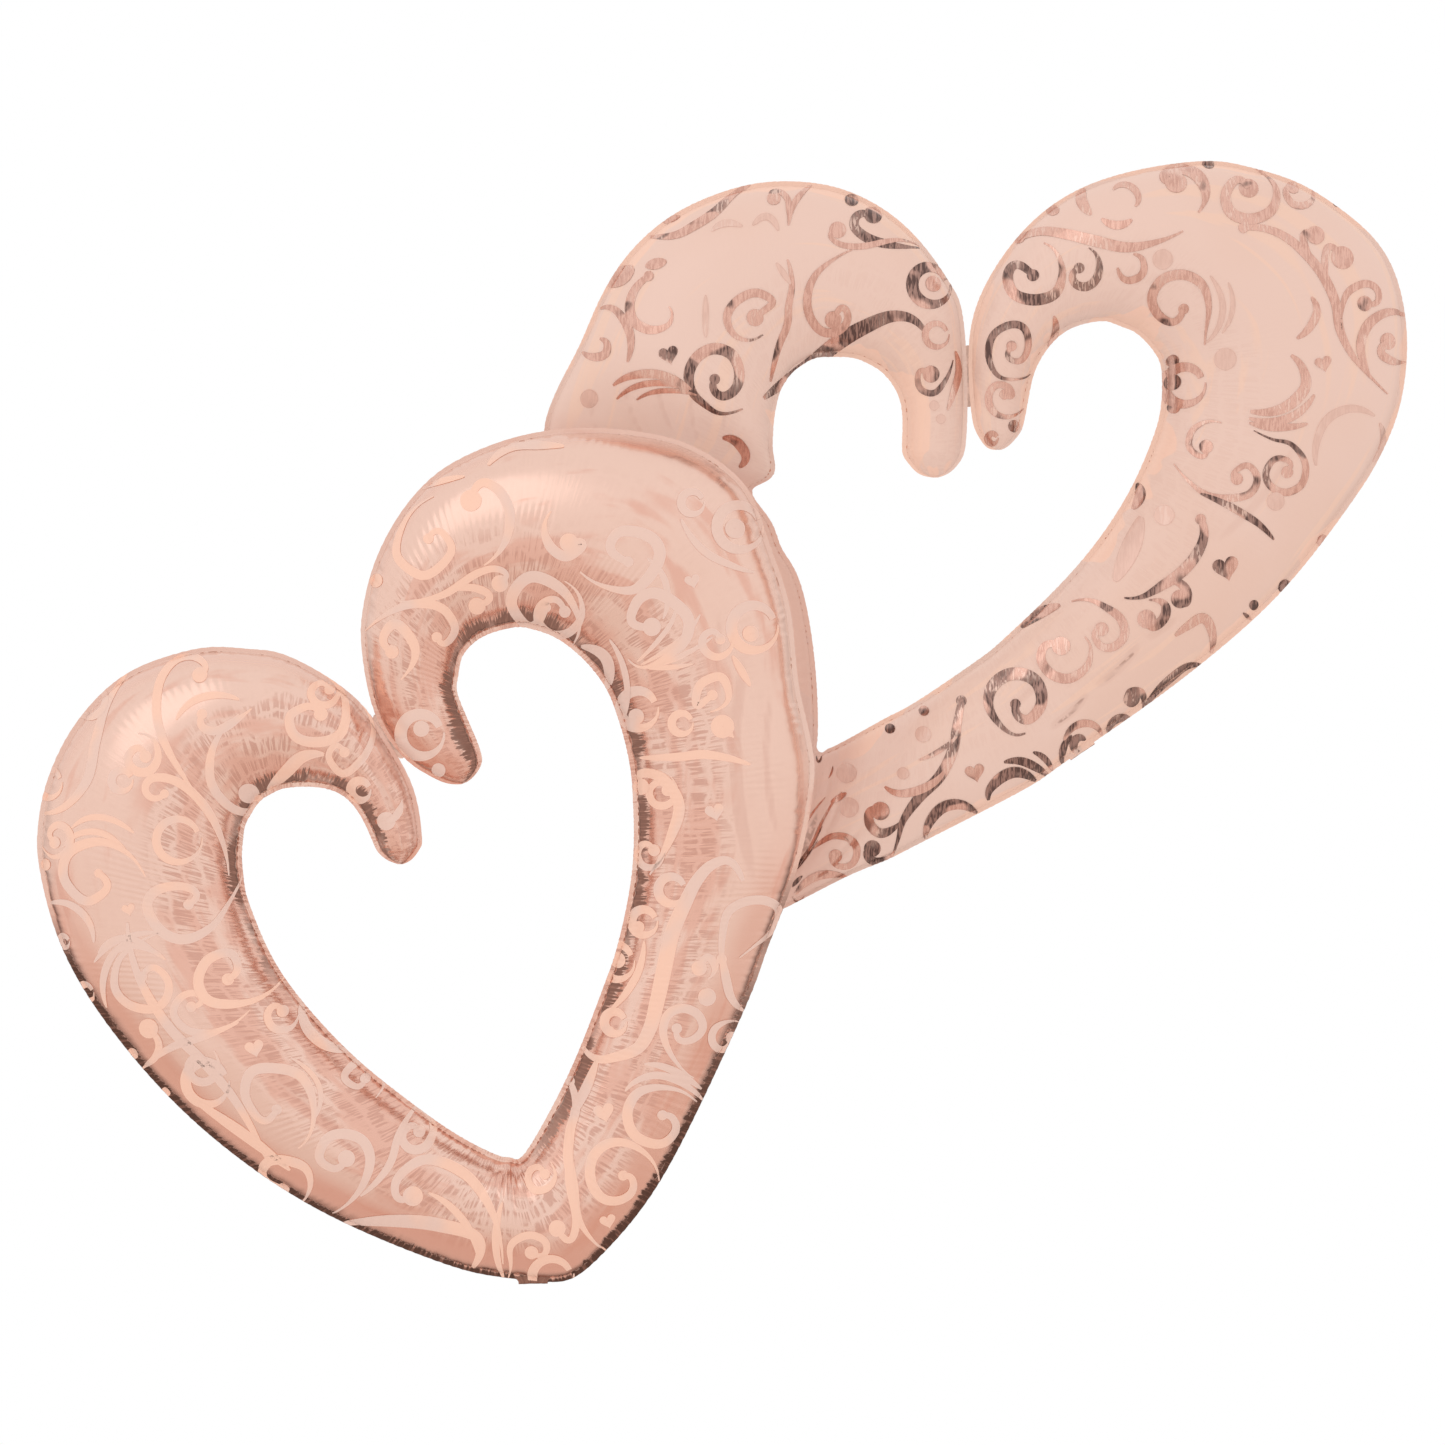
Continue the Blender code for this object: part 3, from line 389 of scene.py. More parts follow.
FRONT_EDGES = Edges(FRONT_STATIONS, FRONT_SIZE)
REAR_EDGES = Edges(REAR_STATIONS, REAR_SIZE)


def crossing(u):
    return smooth((u - CROSS_FROM) / (CROSS_IN - CROSS_FROM)) * smooth(
        (CROSS_TO - u) / (CROSS_TO - CROSS_OUT)
    )


def tube_frame(which, u):
    edges = FRONT_EDGES if which == "front" else REAR_EDGES
    e = edges.along(u)
    half = np.linalg.norm(e[:, :2] - e[:, 2:], axis=1) / 2
    depth = DEPTH_LIMIT * np.tanh(PLUMP * np.maximum(half - FLANGE, 0.0) / DEPTH_LIMIT)
    if which == "front":
        return e, np.full(len(u), FRONT_Y), half, depth
    c = crossing(u)
    depth = depth + (np.minimum(depth, CROSS_DEPTH) - depth) * smooth(1.35 * c)
    plane = REAR_Y + (CROSS_Y - REAR_Y) * c
    # the squeezed stretch runs into the full tube without a hard line
    spread = np.exp(-0.5 * (np.arange(-36, 37) / 13.0) ** 2)
    spread = spread / spread.sum()
    soft = smooth((u - CROSS_FROM + 0.04) / 0.03) * smooth((CROSS_TO + 0.04 - u) / 0.03)
    depth = depth + soft * (np.convolve(np.pad(depth, 36, "edge"), spread, "valid") - depth)
    plane = plane + soft * (np.convolve(np.pad(plane, 36, "edge"), spread, "valid") - plane)
    return e, plane, half, depth


FLANGE_STEPS = (1.0, 0.66, 0.33)


def film_fields(which, side, rows, steps):
    """Base points of one film and the distances the pleats are measured by."""
    u = np.linspace(0.0, 1.0, rows)
    tips = 0.5 - 0.5 * np.cos(math.pi * u)
    u = 0.93 * u + 0.07 * tips
    e, plane, half, depth = tube_frame(which, u)
    centre = (e[:, :2] + e[:, 2:]) / 2
    reach = (e[:, :2] - e[:, 2:]) / 2
    inside = np.maximum(1.0 - FLANGE / half, 0.35)
    angles = np.linspace(0.0, 1.0, steps + 1)
    angles = math.pi * (angles - 0.055 * np.sin(4.0 * math.pi * angles) / 2.0)
    scale, lift = [], []
    for f in FLANGE_STEPS:
        scale.append(inside + (1.0 - inside) * f)
        lift.append(0.0)
    for a in angles:
        scale.append(inside * math.cos(a))
        lift.append(math.sin(a))
    for f in FLANGE_STEPS[::-1]:
        scale.append(-(inside + (1.0 - inside) * f))
        lift.append(0.0)
    scale = np.array(scale).T
    lift = np.array(lift)[None, :]
    end = np.minimum(1.0, np.minimum(u, 1 - u) / 0.0012)
    p = np.zeros(scale.shape + (3,))
    p[..., 0] = centre[:, None, 0] + reach[:, None, 0] * scale
    p[..., 2] = centre[:, None, 1] + reach[:, None, 1] * scale
    p[..., 1] = plane[:, None] + side * (0.12 + (depth * end)[:, None] * lift)
    seg = np.linalg.norm(np.diff(p, axis=1), axis=2)
    across = np.concatenate([np.zeros((rows, 1)), np.cumsum(seg, axis=1)], axis=1)
    total = across[:, -1:]
    k = len(FLANGE_STEPS)
    from_outer = across - across[:, k : k + 1]
    from_inner = (total - across) - (total - across)[:, -k - 1 : -k]
    rail_o = np.concatenate([[0.0], np.cumsum(np.linalg.norm(np.diff(p[:, 0], axis=0), axis=1))])
    rail_i = np.concatenate([[0.0], np.cumsum(np.linalg.norm(np.diff(p[:, -1], axis=0), axis=1))])
    return {
        "u": u, "p": p, "from_outer": from_outer, "from_inner": from_inner, "total": total,
        "rail_o": rail_o[:, None], "rail_i": rail_i[:, None], "mid": ((rail_o + rail_i) / 2)[:, None],
        "half": half[:, None], "v": across / total, "k": k, "scale": scale,
    }


def grid_normals(p, side):
    du = np.gradient(p, axis=0)
    dv = np.gradient(p, axis=1)
    n = np.cross(du, dv)
    length = np.linalg.norm(n, axis=2, keepdims=True)
    n = n / np.maximum(length, 1e-9)
    facing = np.sign(np.sum(n[..., 1] * length[..., 0]) * side)
    return n * (facing if facing else 1.0)


def pleats(run, seed, pitch, sharp=1.0):
    """Uneven pleats along a seam: 0 on the crests, 1 in the valleys."""
    phase = 2 * math.pi * run / pitch + 2.6 * waves(seed, run / 55.0) + 1.3 * waves(seed + 1, run / 21.0)
    return (0.5 - 0.5 * np.cos(phase)) ** sharp


def creases(p, lines):
    """Long folds: (x1, z1, x2, z2, width, depth) each, pressed in where depth is positive."""
    total = np.zeros(p.shape[:2])
    x, z = p[..., 0], p[..., 2]
    for x1, z1, x2, z2, width, depth in lines:
        dx, dz = x2 - x1, z2 - z1
        length = math.hypot(dx, dz)
        t = ((x - x1) * dx + (z - z1) * dz) / length**2
        off = ((x - x1) * dz - (z - z1) * dx) / length
        bow = 0.06 * length * np.sin(math.pi * np.clip(t, 0, 1))
        off = off - bow
        taper = smooth((t + 0.08) / 0.35) * smooth((1.08 - t) / 0.35)
        q = off / width
        total += depth * taper * (np.exp(-q * q) - 0.45 * np.exp(-((q - 1.9) ** 2)) - 0.3 * np.exp(-((q + 1.9) ** 2)))
    return total


def rail_lean(rail, reach):
    """How far an edge's outward direction points up, -1 to 1, all along it."""
    run = np.gradient(rail[:, ::2], axis=0)
    window = np.hanning(43)[1:-1] / np.hanning(43).sum()
    run = np.stack([np.convolve(np.pad(run[:, k], 20, "edge"), window, "valid") for k in (0, 1)], axis=1)
    normal = np.stack([-run[:, 1], run[:, 0]], axis=1)
    normal /= np.maximum(np.linalg.norm(normal, axis=1, keepdims=True), 1e-9)
    outward = np.sign(np.sum(normal * reach[:, ::2], axis=1))
    return (normal[:, 1] * outward)[:, None]


def film(name, which, side, rows, steps, lines=(), outer=1.0, inner=1.0, fine=1.0):
    """One film as a fine sheet: pleated seams, fine ticks across the tube, long folds."""
    g = film_fields(which, side, rows, steps)
    p, fo, fi = g["p"], g["from_outer"], g["from_inner"]
    n = grid_normals(p, side)
    seed = {"front": 11, "rear": 47}[which]
    back = 0 if side < 0 else 7
    ro, ri, mid = g["rail_o"], g["rail_i"], g["mid"]
    room = np.clip((g["half"] - 8.0) / 25.0, 0.0, 1.0)
    # pleats that start at the seams and die out into the film
    amp_o = outer * (0.24 + 0.30 * waves(seed + 2, ro / 55.0) + 0.12 * waves(seed + 50, ro / 11.0)) * room
    amp_i = inner * (0.75 + 0.40 * waves(seed + 3, ri / 60.0) + 0.2 * waves(seed + 51, ri / 10.0)) * room
    reach_o = 9.0 + 5.0 * waves(seed + 4, ro / 9.0) + 4.0 * waves(seed + 4, ro / 50.0)
    reach_i = 12.0 + 6.0 * waves(seed + 5, ri / 8.0) + 5.0 * waves(seed + 5, ri / 45.0)
    do = np.maximum(fo, 0.0) / np.maximum(reach_o, 4.0)
    di = np.maximum(fi, 0.0) / np.maximum(reach_i, 5.0)
    d = -amp_o * pleats(ro, seed + 6, 9.5) * np.exp(-(do**1.4))
    d += -amp_i * pleats(ri, seed + 8, 7.0) * np.exp(-(di**1.4))
    # broader buckles from the inner seam
    d += -1.5 * inner * room * pleats(ri, seed + 12 + back, 31.0, 1.6) * (
        0.5 + 0.5 * waves(seed + 13 + back, ri / 90.0)
    ) * np.exp(-((np.maximum(fi, 0.0) / 34.0) ** 2)) * smooth(fi / 6.0)
    d += -0.8 * outer * room * pleats(ro, seed + 14 + back, 38.0, 1.6) * np.exp(
        -((np.maximum(fo, 0.0) / 26.0) ** 2)
    ) * smooth(fo / 6.0)
    # fine ticks in uneven bands across the middle of the tube
    band = smooth(2.2 * waves(seed + 20 + back, mid / 130.0, g["v"] * 3.1, terms=8) - 0.1)
    band = band * smooth(fo / 18.0) * smooth(fi / 14.0)
    tick = np.cos(2 * math.pi * mid / 5.6 + 2.0 * waves(seed + 21, mid / 40.0, g["v"] * 2.0))
    d += 0.14 * fine * band * tick
    # slow unevenness of the inflated tube
    d += 0.9 * room * waves(seed + 30 + back, mid / 210.0, g["v"] * 1.1) * smooth(fo / 20.0) * smooth(fi / 20.0)
    folds = creases(p, lines) if len(lines) else np.zeros_like(d)
    d += -folds * smooth(fo / 3.0) * smooth(fi / 3.0)
    k = g["k"]
    d[:, :k] = 0.0
    d[:, -k:] = 0.0
    p = p + n * d[..., None]
    # the sealed margins ripple together, out of their plane
    ripple_o = 0.20 * (pleats(ro, seed + 6, 9.5) - 0.5) * (1.0 + waves(seed + 52, ro / 30.0)) * room * outer
    ripple_i = 0.20 * (pleats(ri, seed + 8, 7.0) - 0.5) * (1.0 + waves(seed + 53, ri / 26.0)) * room * inner
    for j in range(k + 1):
        weight = 1.0 if j < k else 0.6
        p[:, j, 1] += ripple_o[:, 0] * weight
        p[:, -1 - j, 1] += ripple_i[:, 0] * weight
    nick_o = (0.55 + 0.14 * waves(seed + 40, ro / 7.0)) * room
    nick_i = (0.55 + 0.14 * waves(seed + 41, ri / 6.0)) * room
    out = p[:, 0] - p[:, k]
    out = out / np.maximum(np.linalg.norm(out, axis=1, keepdims=True), 1e-6)
    p[:, 0] += out * nick_o
    inn = p[:, -1] - p[:, -1 - k]
    inn = inn / np.maximum(np.linalg.norm(inn, axis=1, keepdims=True), 1e-6)
    p[:, -1] += inn * nick_i
    ob = sheet(name, p, side, g["mid"] * np.ones_like(g["v"]), g["v"])
    reach = p[:, 0] - p[:, -1]
    toward = (1.0 + g["scale"]) / 2.0
    lean = toward * rail_lean(p[:, 0], reach) + (1.0 - toward) * rail_lean(p[:, -1], reach)
    for label, values in (
        ("outer_mm", (1.0 - g["scale"]) * g["half"]), ("inner_mm", (1.0 + g["scale"]) * g["half"]),
        ("lean", lean), ("fold", folds),
        ("behind", (crossing(g["u"]) if which == "rear" else 0.0 * g["u"])[:, None] * np.ones_like(fo)),
    ):
        layer = ob.data.attributes.new(label, "FLOAT", "POINT")
        layer.data.foreach_set("value", values.astype(np.float32).ravel())
    return ob


def sheet(name, p, side, s, v):
    rows, cols, _ = p.shape
    index = np.arange(rows * cols).reshape(rows, cols)
    quads = np.stack(
        [index[:-1, :-1], index[1:, :-1], index[1:, 1:], index[:-1, 1:]], axis=-1
    ).reshape(-1, 4)
    flat = p.reshape(-1, 3) * MM
    a, b, c = flat[quads[:, 0]], flat[quads[:, 1]], flat[quads[:, 2]]
    if np.sum(np.cross(b - a, c - a)[:, 1]) * side < 0:
        quads = quads[:, ::-1]
    return make_mesh(name, flat, quads, np.stack([s.ravel() * MM, v.ravel()], axis=-1))


def make_mesh(name, verts, quads, uv=None):
    mesh = bpy.data.meshes.new(name)
    mesh.vertices.add(len(verts))
    mesh.vertices.foreach_set("co", np.asarray(verts, np.float32).ravel())
    quads = np.ascontiguousarray(quads, np.int32)
    width = quads.shape[1]
    mesh.loops.add(quads.size)
    mesh.loops.foreach_set("vertex_index", quads.ravel())
    mesh.polygons.add(len(quads))
    mesh.polygons.foreach_set("loop_start", np.arange(0, quads.size, width, dtype=np.int32))
    mesh.polygons.foreach_set("use_smooth", np.ones(len(quads), bool))
    if uv is not None:
        layer = mesh.uv_layers.new(name="film")
        layer.data.foreach_set("uv", np.asarray(uv, np.float32)[quads.ravel()].ravel())
    mesh.update(calc_edges=True)
    mesh.validate()
    ob = bpy.data.objects.new(name, mesh)
    bpy.context.scene.collection.objects.link(ob)
    return ob


# ---------------------------------------------------------------- printed scrolls


def through(points, step=1.6):
    """Smooth line through the points, sampled evenly."""
    p = np.array(points, float)
    if len(p) == 2:
        p = np.array([p[0], (p[0] + p[1]) / 2, p[1]])
    chord = np.sqrt(np.linalg.norm(np.diff(p, axis=0), axis=1))
    t = np.concatenate([[0.0], np.cumsum(np.maximum(chord, 1e-3))])
    tangent = np.zeros_like(p)
    for i in range(1, len(p) - 1):
        a, b = t[i] - t[i - 1], t[i + 1] - t[i]
        tangent[i] = ((p[i] - p[i - 1]) / a * b + (p[i + 1] - p[i]) / b * a) / (a + b)
    tangent[0] = 2 * (p[1] - p[0]) / (t[1] - t[0]) - tangent[1]
    tangent[-1] = 2 * (p[-1] - p[-2]) / (t[-1] - t[-2]) - tangent[-2]
    out = []
    for i in range(len(p) - 1):
        span = t[i + 1] - t[i]
        f = np.linspace(0.0, 1.0, 24, endpoint=False)[:, None]
        out.append(
            (2 * f**3 - 3 * f**2 + 1) * p[i] + (f**3 - 2 * f**2 + f) * span * tangent[i]
            + (3 * f**2 - 2 * f**3) * p[i + 1] + (f**3 - f**2) * span * tangent[i + 1]
        )
    line = np.vstack(out + [p[-1:]])
    run = np.concatenate([[0.0], np.cumsum(np.linalg.norm(np.diff(line, axis=0), axis=1))])
    count = max(int(run[-1] / step), 4)
    at = np.linspace(0.0, run[-1], count + 1)
    line = np.stack([np.interp(at, run, line[:, k]) for k in (0, 1)], axis=1)
    for _ in range(60):  # even out the curvature without shrinking the curls
        for pull in (0.50, -0.515):
            line[1:-1] += pull * ((line[:-2] + line[2:]) / 2 - line[1:-1])
    run = np.concatenate([[0.0], np.cumsum(np.linalg.norm(np.diff(line, axis=0), axis=1))])
    return line, run


def ribbon(points, width, ball):
    """Flat grid of a tapered stroke, fullest near its middle or at the ball end."""
    line, run = through(points)
    direction = np.gradient(line, axis=0)
    direction /= np.maximum(np.linalg.norm(direction, axis=1, keepdims=True), 1e-9)
    across = np.stack([-direction[:, 1], direction[:, 0]], axis=1)
    t = run / run[-1]
    if ball:
        w = 0.55 + 0.45 * np.sin(math.pi * np.clip(t * 1.1, 0, 1)) ** 0.8
        w = np.where(t > 0.6, w * (1.0 - 0.75 * (np.maximum(t - 0.6, 0.0) / 0.4) ** 1.5), w)
    else:
        w = 0.22 + 0.78 * np.sin(math.pi * np.clip(t, 0.0, 1.0)) ** 0.7
    half = w * width / 2
    cols = np.linspace(-1.0, 1.0, max(int(width / 1.8) + 1, 4))
    grid = line[:, None, :] + across[:, None, :] * (half[:, None] * cols[None, :])[..., None]
    return grid, run[:, None] + 0 * cols[None, :], 0 * run[:, None] + cols[None, :]


def disc(x, z, radius):
    """Filled round ball as a polar grid."""
    turn = np.linspace(0.0, 2 * math.pi, 25)
    ring = np.array([0.02, 0.35, 0.7, 1.0]) * radius
    grid = np.stack(
        [x + ring[None, :] * np.cos(turn)[:, None], z + ring[None, :] * np.sin(turn)[:, None]], axis=-1
    )
    return grid, turn[:, None] * radius + 0 * ring[None, :], 0 * turn[:, None] + ring[None, :] / radius


def hoop(x, z, radius, width):
    """Ring drawn as an open spiral stroke."""
    turn = np.linspace(0.4, 0.4 + 1.9 * math.pi, 18)
    grow = np.linspace(0.86, 1.0, len(turn)) * (radius - width / 2)
    return [(x + g * math.cos(a), z + g * math.sin(a)) for g, a in zip(grow, turn)]


def little_heart(x, z, width):
    turn = np.linspace(0.0, 2 * math.pi, 33)
    hx = 16 * np.sin(turn) ** 3
    hz = 13 * np.cos(turn) - 5 * np.cos(2 * turn) - 2 * np.cos(3 * turn) - np.cos(4 * turn)
    ring = np.array([0.03, 0.3, 0.55, 0.8, 1.0]) * width / 34.0
    tilt = 0.25
    px = hx * math.cos(tilt) - hz * math.sin(tilt)
    pz = hx * math.sin(tilt) + hz * math.cos(tilt)
    grid = np.stack(
        [x + ring[None, :] * px[:, None], z + ring[None, :] * pz[:, None]], axis=-1
    )
    return grid, turn[:, None] * width / 3 + 0 * ring[None, :], 0 * turn[:, None] + ring[None, :] * 34 / width


class Print:
    """Scroll pieces laid on one film by dropping each point onto it from the front."""

    def __init__(self, film_object, size):
        mesh = film_object.data
        count = len(mesh.vertices)
        co = np.zeros(count * 3, np.float32)
        mesh.vertices.foreach_get("co", co)
        loops = np.zeros(len(mesh.loops), np.int32)
        mesh.loops.foreach_get("vertex_index", loops)
        self.tree = BVHTree.FromPolygons(
            [tuple(c) for c in co.reshape(-1, 3).tolist()], loops.reshape(-1, 4).tolist()
        )
        self.size = size
        self.verts, self.quads, self.uv, self.painted_shade = [], [], [], []
        self.layer = 0

    def lay(self, pieces, painted_shade=0.0, steep=0.20, fine=1):
        grid, s, v = pieces
        rows, cols, _ = grid.shape
        if fine == 1:
            self.layer = (self.layer + 1) % 6
        lift = (0.30 + 0.03 * self.layer) * MM
        base = len(self.verts)
        good = np.zeros((rows, cols), bool)
        depth = np.zeros((rows, cols))
        places = []
        down = Vector((0.0, 1.0, 0.0))
        for i in range(rows):
            for k in range(cols):
                x = (grid[i, k, 0] * self.size + CENTRE_SHIFT[0]) * MM
                z = (grid[i, k, 1] * self.size + CENTRE_SHIFT[1]) * MM
                hit, normal, _, _ = self.tree.ray_cast(Vector((x, -0.5, z)), down)
                if hit is None:
                    places.append((x, 0.0, z))
                    continue
                if normal.y > 0:
                    normal = -normal
                good[i, k] = -normal.y > steep
                depth[i, k] = hit.y
                places.append(tuple(hit + normal * lift))
        if fine == 1 and good.any() and (not good.all() or np.abs(np.diff(depth, axis=0)).max() > 0.004):
            # near the outline the film is steep, so the piece is laid again on a finer grid
            if rows * cols < 6000:
                def finer(values):
                    for axis in (0, 1):
                        count = values.shape[axis]
                        at = np.linspace(0.0, count - 1.0, 4 * (count - 1) + 1)
                        low = np.minimum(at.astype(int), count - 2)
                        part = (at - low).reshape([-1 if a == axis else 1 for a in range(values.ndim)])
                        values = np.take(values, low, axis) * (1 - part) + np.take(values, low + 1, axis) * part
                    return values

                self.lay((finer(grid), finer(s), finer(v)), painted_shade, 0.6 * steep, 4)
                return
        kept = []
        for i in range(rows - 1):
            for k in range(cols - 1):
                corner = ((i, k), (i + 1, k), (i + 1, k + 1), (i, k + 1))
                if not all(good[c] for c in corner):
                    continue
                y = [depth[c] for c in corner]
                if max(y) - min(y) > (0.009 if fine == 1 else 0.0045):
                    continue
                kept.append([r * cols + c for r, c in corner])
        if not kept:
            return
        kept = np.array(kept)
        used = np.unique(kept)
        renumber = np.full(rows * cols, -1)
        renumber[used] = np.arange(len(used)) + base
        sf, vf = s.ravel(), v.ravel()
        self.verts.extend(places[i] for i in used)
        self.uv.extend((sf[i] * MM, vf[i]) for i in used)
        self.painted_shade.extend([painted_shade] * len(used))
        self.quads.append(renumber[kept])

    def build(self, name):
        verts, quads = np.array(self.verts), np.vstack(self.quads)
        a, b, c = verts[quads[:, 0]], verts[quads[:, 1]], verts[quads[:, 2]]
        flip = np.cross(b - a, c - a)[:, 1] > 0
        quads[flip] = quads[flip][:, ::-1]
        ob = make_mesh(name, verts, quads, np.array(self.uv))
        # each vertex keeps its painted-shade value, read by the bare foil's colour
        painted_shade = ob.data.attributes.new("shade", "FLOAT", "POINT")
        painted_shade.data.foreach_set("value", np.array(self.painted_shade, np.float32))
        return ob


def lay_print(film_object, size, name, scrolls, rings, balls, hearts, swell=1.0, steep=0.12):
    sheet_print = Print(film_object, size)
    for row in scrolls:
        width, ball = row[:2]
        shaded, points = (row[2], row[3:]) if isinstance(row[2], int) else (0, row[2:])
        if not ball and len(points) >= 7 and width < 10.0:
            ball = 3.6
        sheet_print.lay(ribbon(points, width * swell, ball), shaded, steep)
        if ball:
            sheet_print.lay(disc(points[0][0], points[0][1], 0.8 * ball + 1.8), shaded, steep)
    for row in rings:
        shaded = row[4] if len(row) > 4 else 0
        line = hoop(*row[:4])
        sheet_print.lay(ribbon(line, row[3] * swell * 1.1, 1), shaded, steep)
    for row in balls:
        sheet_print.lay(disc(*row[:3]), row[3] if len(row) > 3 else 0, steep)
    for row in hearts:
        sheet_print.lay(little_heart(*row[:3]), row[3] if len(row) > 3 else 0, steep)
    return sheet_print.build(name)


# ---------------------------------------------------------------- finishes


class Finish:
    """A node material put together step by step."""

    def __init__(self, name):
        self.mat = bpy.data.materials.new(name)
        self.mat.use_nodes = True
        self.tree = self.mat.node_tree
        self.tree.nodes.clear()

    def put(self, socket, value):
        if isinstance(value, bpy.types.NodeSocket):
            self.tree.links.new(value, socket)
        elif hasattr(value, "__len__") and len(socket.default_value) == 4 and len(value) == 3:
            socket.default_value = (*value, 1.0)
        else:
            socket.default_value = value

    def node(self, kind, ins=None, **props):
        made = self.tree.nodes.new(kind)
        for key, value in props.items():
            setattr(made, key, value)
        for key, value in (ins or {}).items():
            self.put(made.inputs[key], value)
        return made

    def math(self, op, a, b=0.0, clamp=False):
        return self.node("ShaderNodeMath", {0: a, 1: b}, operation=op, use_clamp=clamp).outputs[0]

    def mix(self, f, a, b, blend="MIX"):
        made = self.node("ShaderNodeMix", {0: f, 6: a, 7: b}, data_type="RGBA", blend_type=blend)
        return made.outputs[2]

    def step(self, value, low, high, to_low=0.0, to_high=1.0):
        made = self.node(
            "ShaderNodeMapRange", {0: value, 1: low, 2: high, 3: to_low, 4: to_high},
            interpolation_type="SMOOTHSTEP", clamp=True,
        )
        return made.outputs[0]

    def noise(self, vector, scale=1.0, detail=2.0, rough=0.5, distortion=0.0):
        made = self.node(
            "ShaderNodeTexNoise",
            {"Vector": vector, "Scale": scale, "Detail": detail, "Roughness": rough, "Distortion": distortion},
        )
        return made.outputs["Fac"] if "Fac" in made.outputs else made.outputs[0]

    def stretch(self, vector, scale, move=(0.0, 0.0, 0.0)):
        return self.node(
            "ShaderNodeMapping", {"Vector": vector, "Scale": scale, "Location": move}
        ).outputs[0]

    def bump(self, height, strength, distance, normal=None):
        ins = {"Height": height, "Strength": strength, "Distance": distance}
        if normal is not None:
            ins["Normal"] = normal
        return self.node("ShaderNodeBump", ins).outputs[0]

    def shade(self, colour, metallic, rough, normal=None, **more):
        ins = {"Base Color": colour, "Metallic": metallic, "Roughness": rough}
        if normal is not None:
            ins["Normal"] = normal
        ins.update(more)
        return self.node("ShaderNodeBsdfPrincipled", ins)

    def done(self, shader):
        out = self.node("ShaderNodeOutputMaterial")
        self.tree.links.new(shader.outputs[0], out.inputs["Surface"])
        return self.mat


# Foil tones: a pale tone for painted pale reflections and a deeper reflection tone; the two darkest tones are painted
# dark reflections along the seals
LIGHT = (0.850, 0.580, 0.480)
DEEP = (0.795, 0.465, 0.366)
DARK = (0.200, 0.092, 0.066)
DEEPEST_REFLECTION = (0.072, 0.031, 0.021)


def film_ticks(f, uv, move, rows=18.0, reach=80.0, pitch=400.0):
    """Fine pleats across the tube, in rows that run along it: returns (ticks, where they show)."""
    inner = f.node("ShaderNodeAttribute", attribute_name="inner_mm").outputs["Fac"]
    fine = f.noise(f.stretch(uv, (pitch, 6.0, 1.0), move), 1.0, 1.5, 0.6, 0.15)
    ticks = f.step(fine, 0.46, 0.55)
    sway = f.noise(f.stretch(uv, (16.0, 1.5, 1.0), move), 1.0, 4.0, 0.65)
    phase = f.math("ADD", f.math("DIVIDE", inner, rows), f.math("MULTIPLY", sway, 3.4))
    lines = f.math("MULTIPLY_ADD", f.math("SINE", f.math("MULTIPLY", phase, 6.2832)), 0.5)
    patch = f.noise(f.stretch(uv, (11.0, 9.0, 1.0), (move[1], move[0], 0.0)), 1.0, 3.0, 0.6, 0.3)
    where = f.math("MULTIPLY", f.step(lines, 0.0, 0.30), f.step(patch, 0.38, 0.50))
    near = f.step(inner, reach + 20.0, reach - 15.0, 0.06, 1.0)
    return ticks, f.math("MULTIPLY", where, near), near
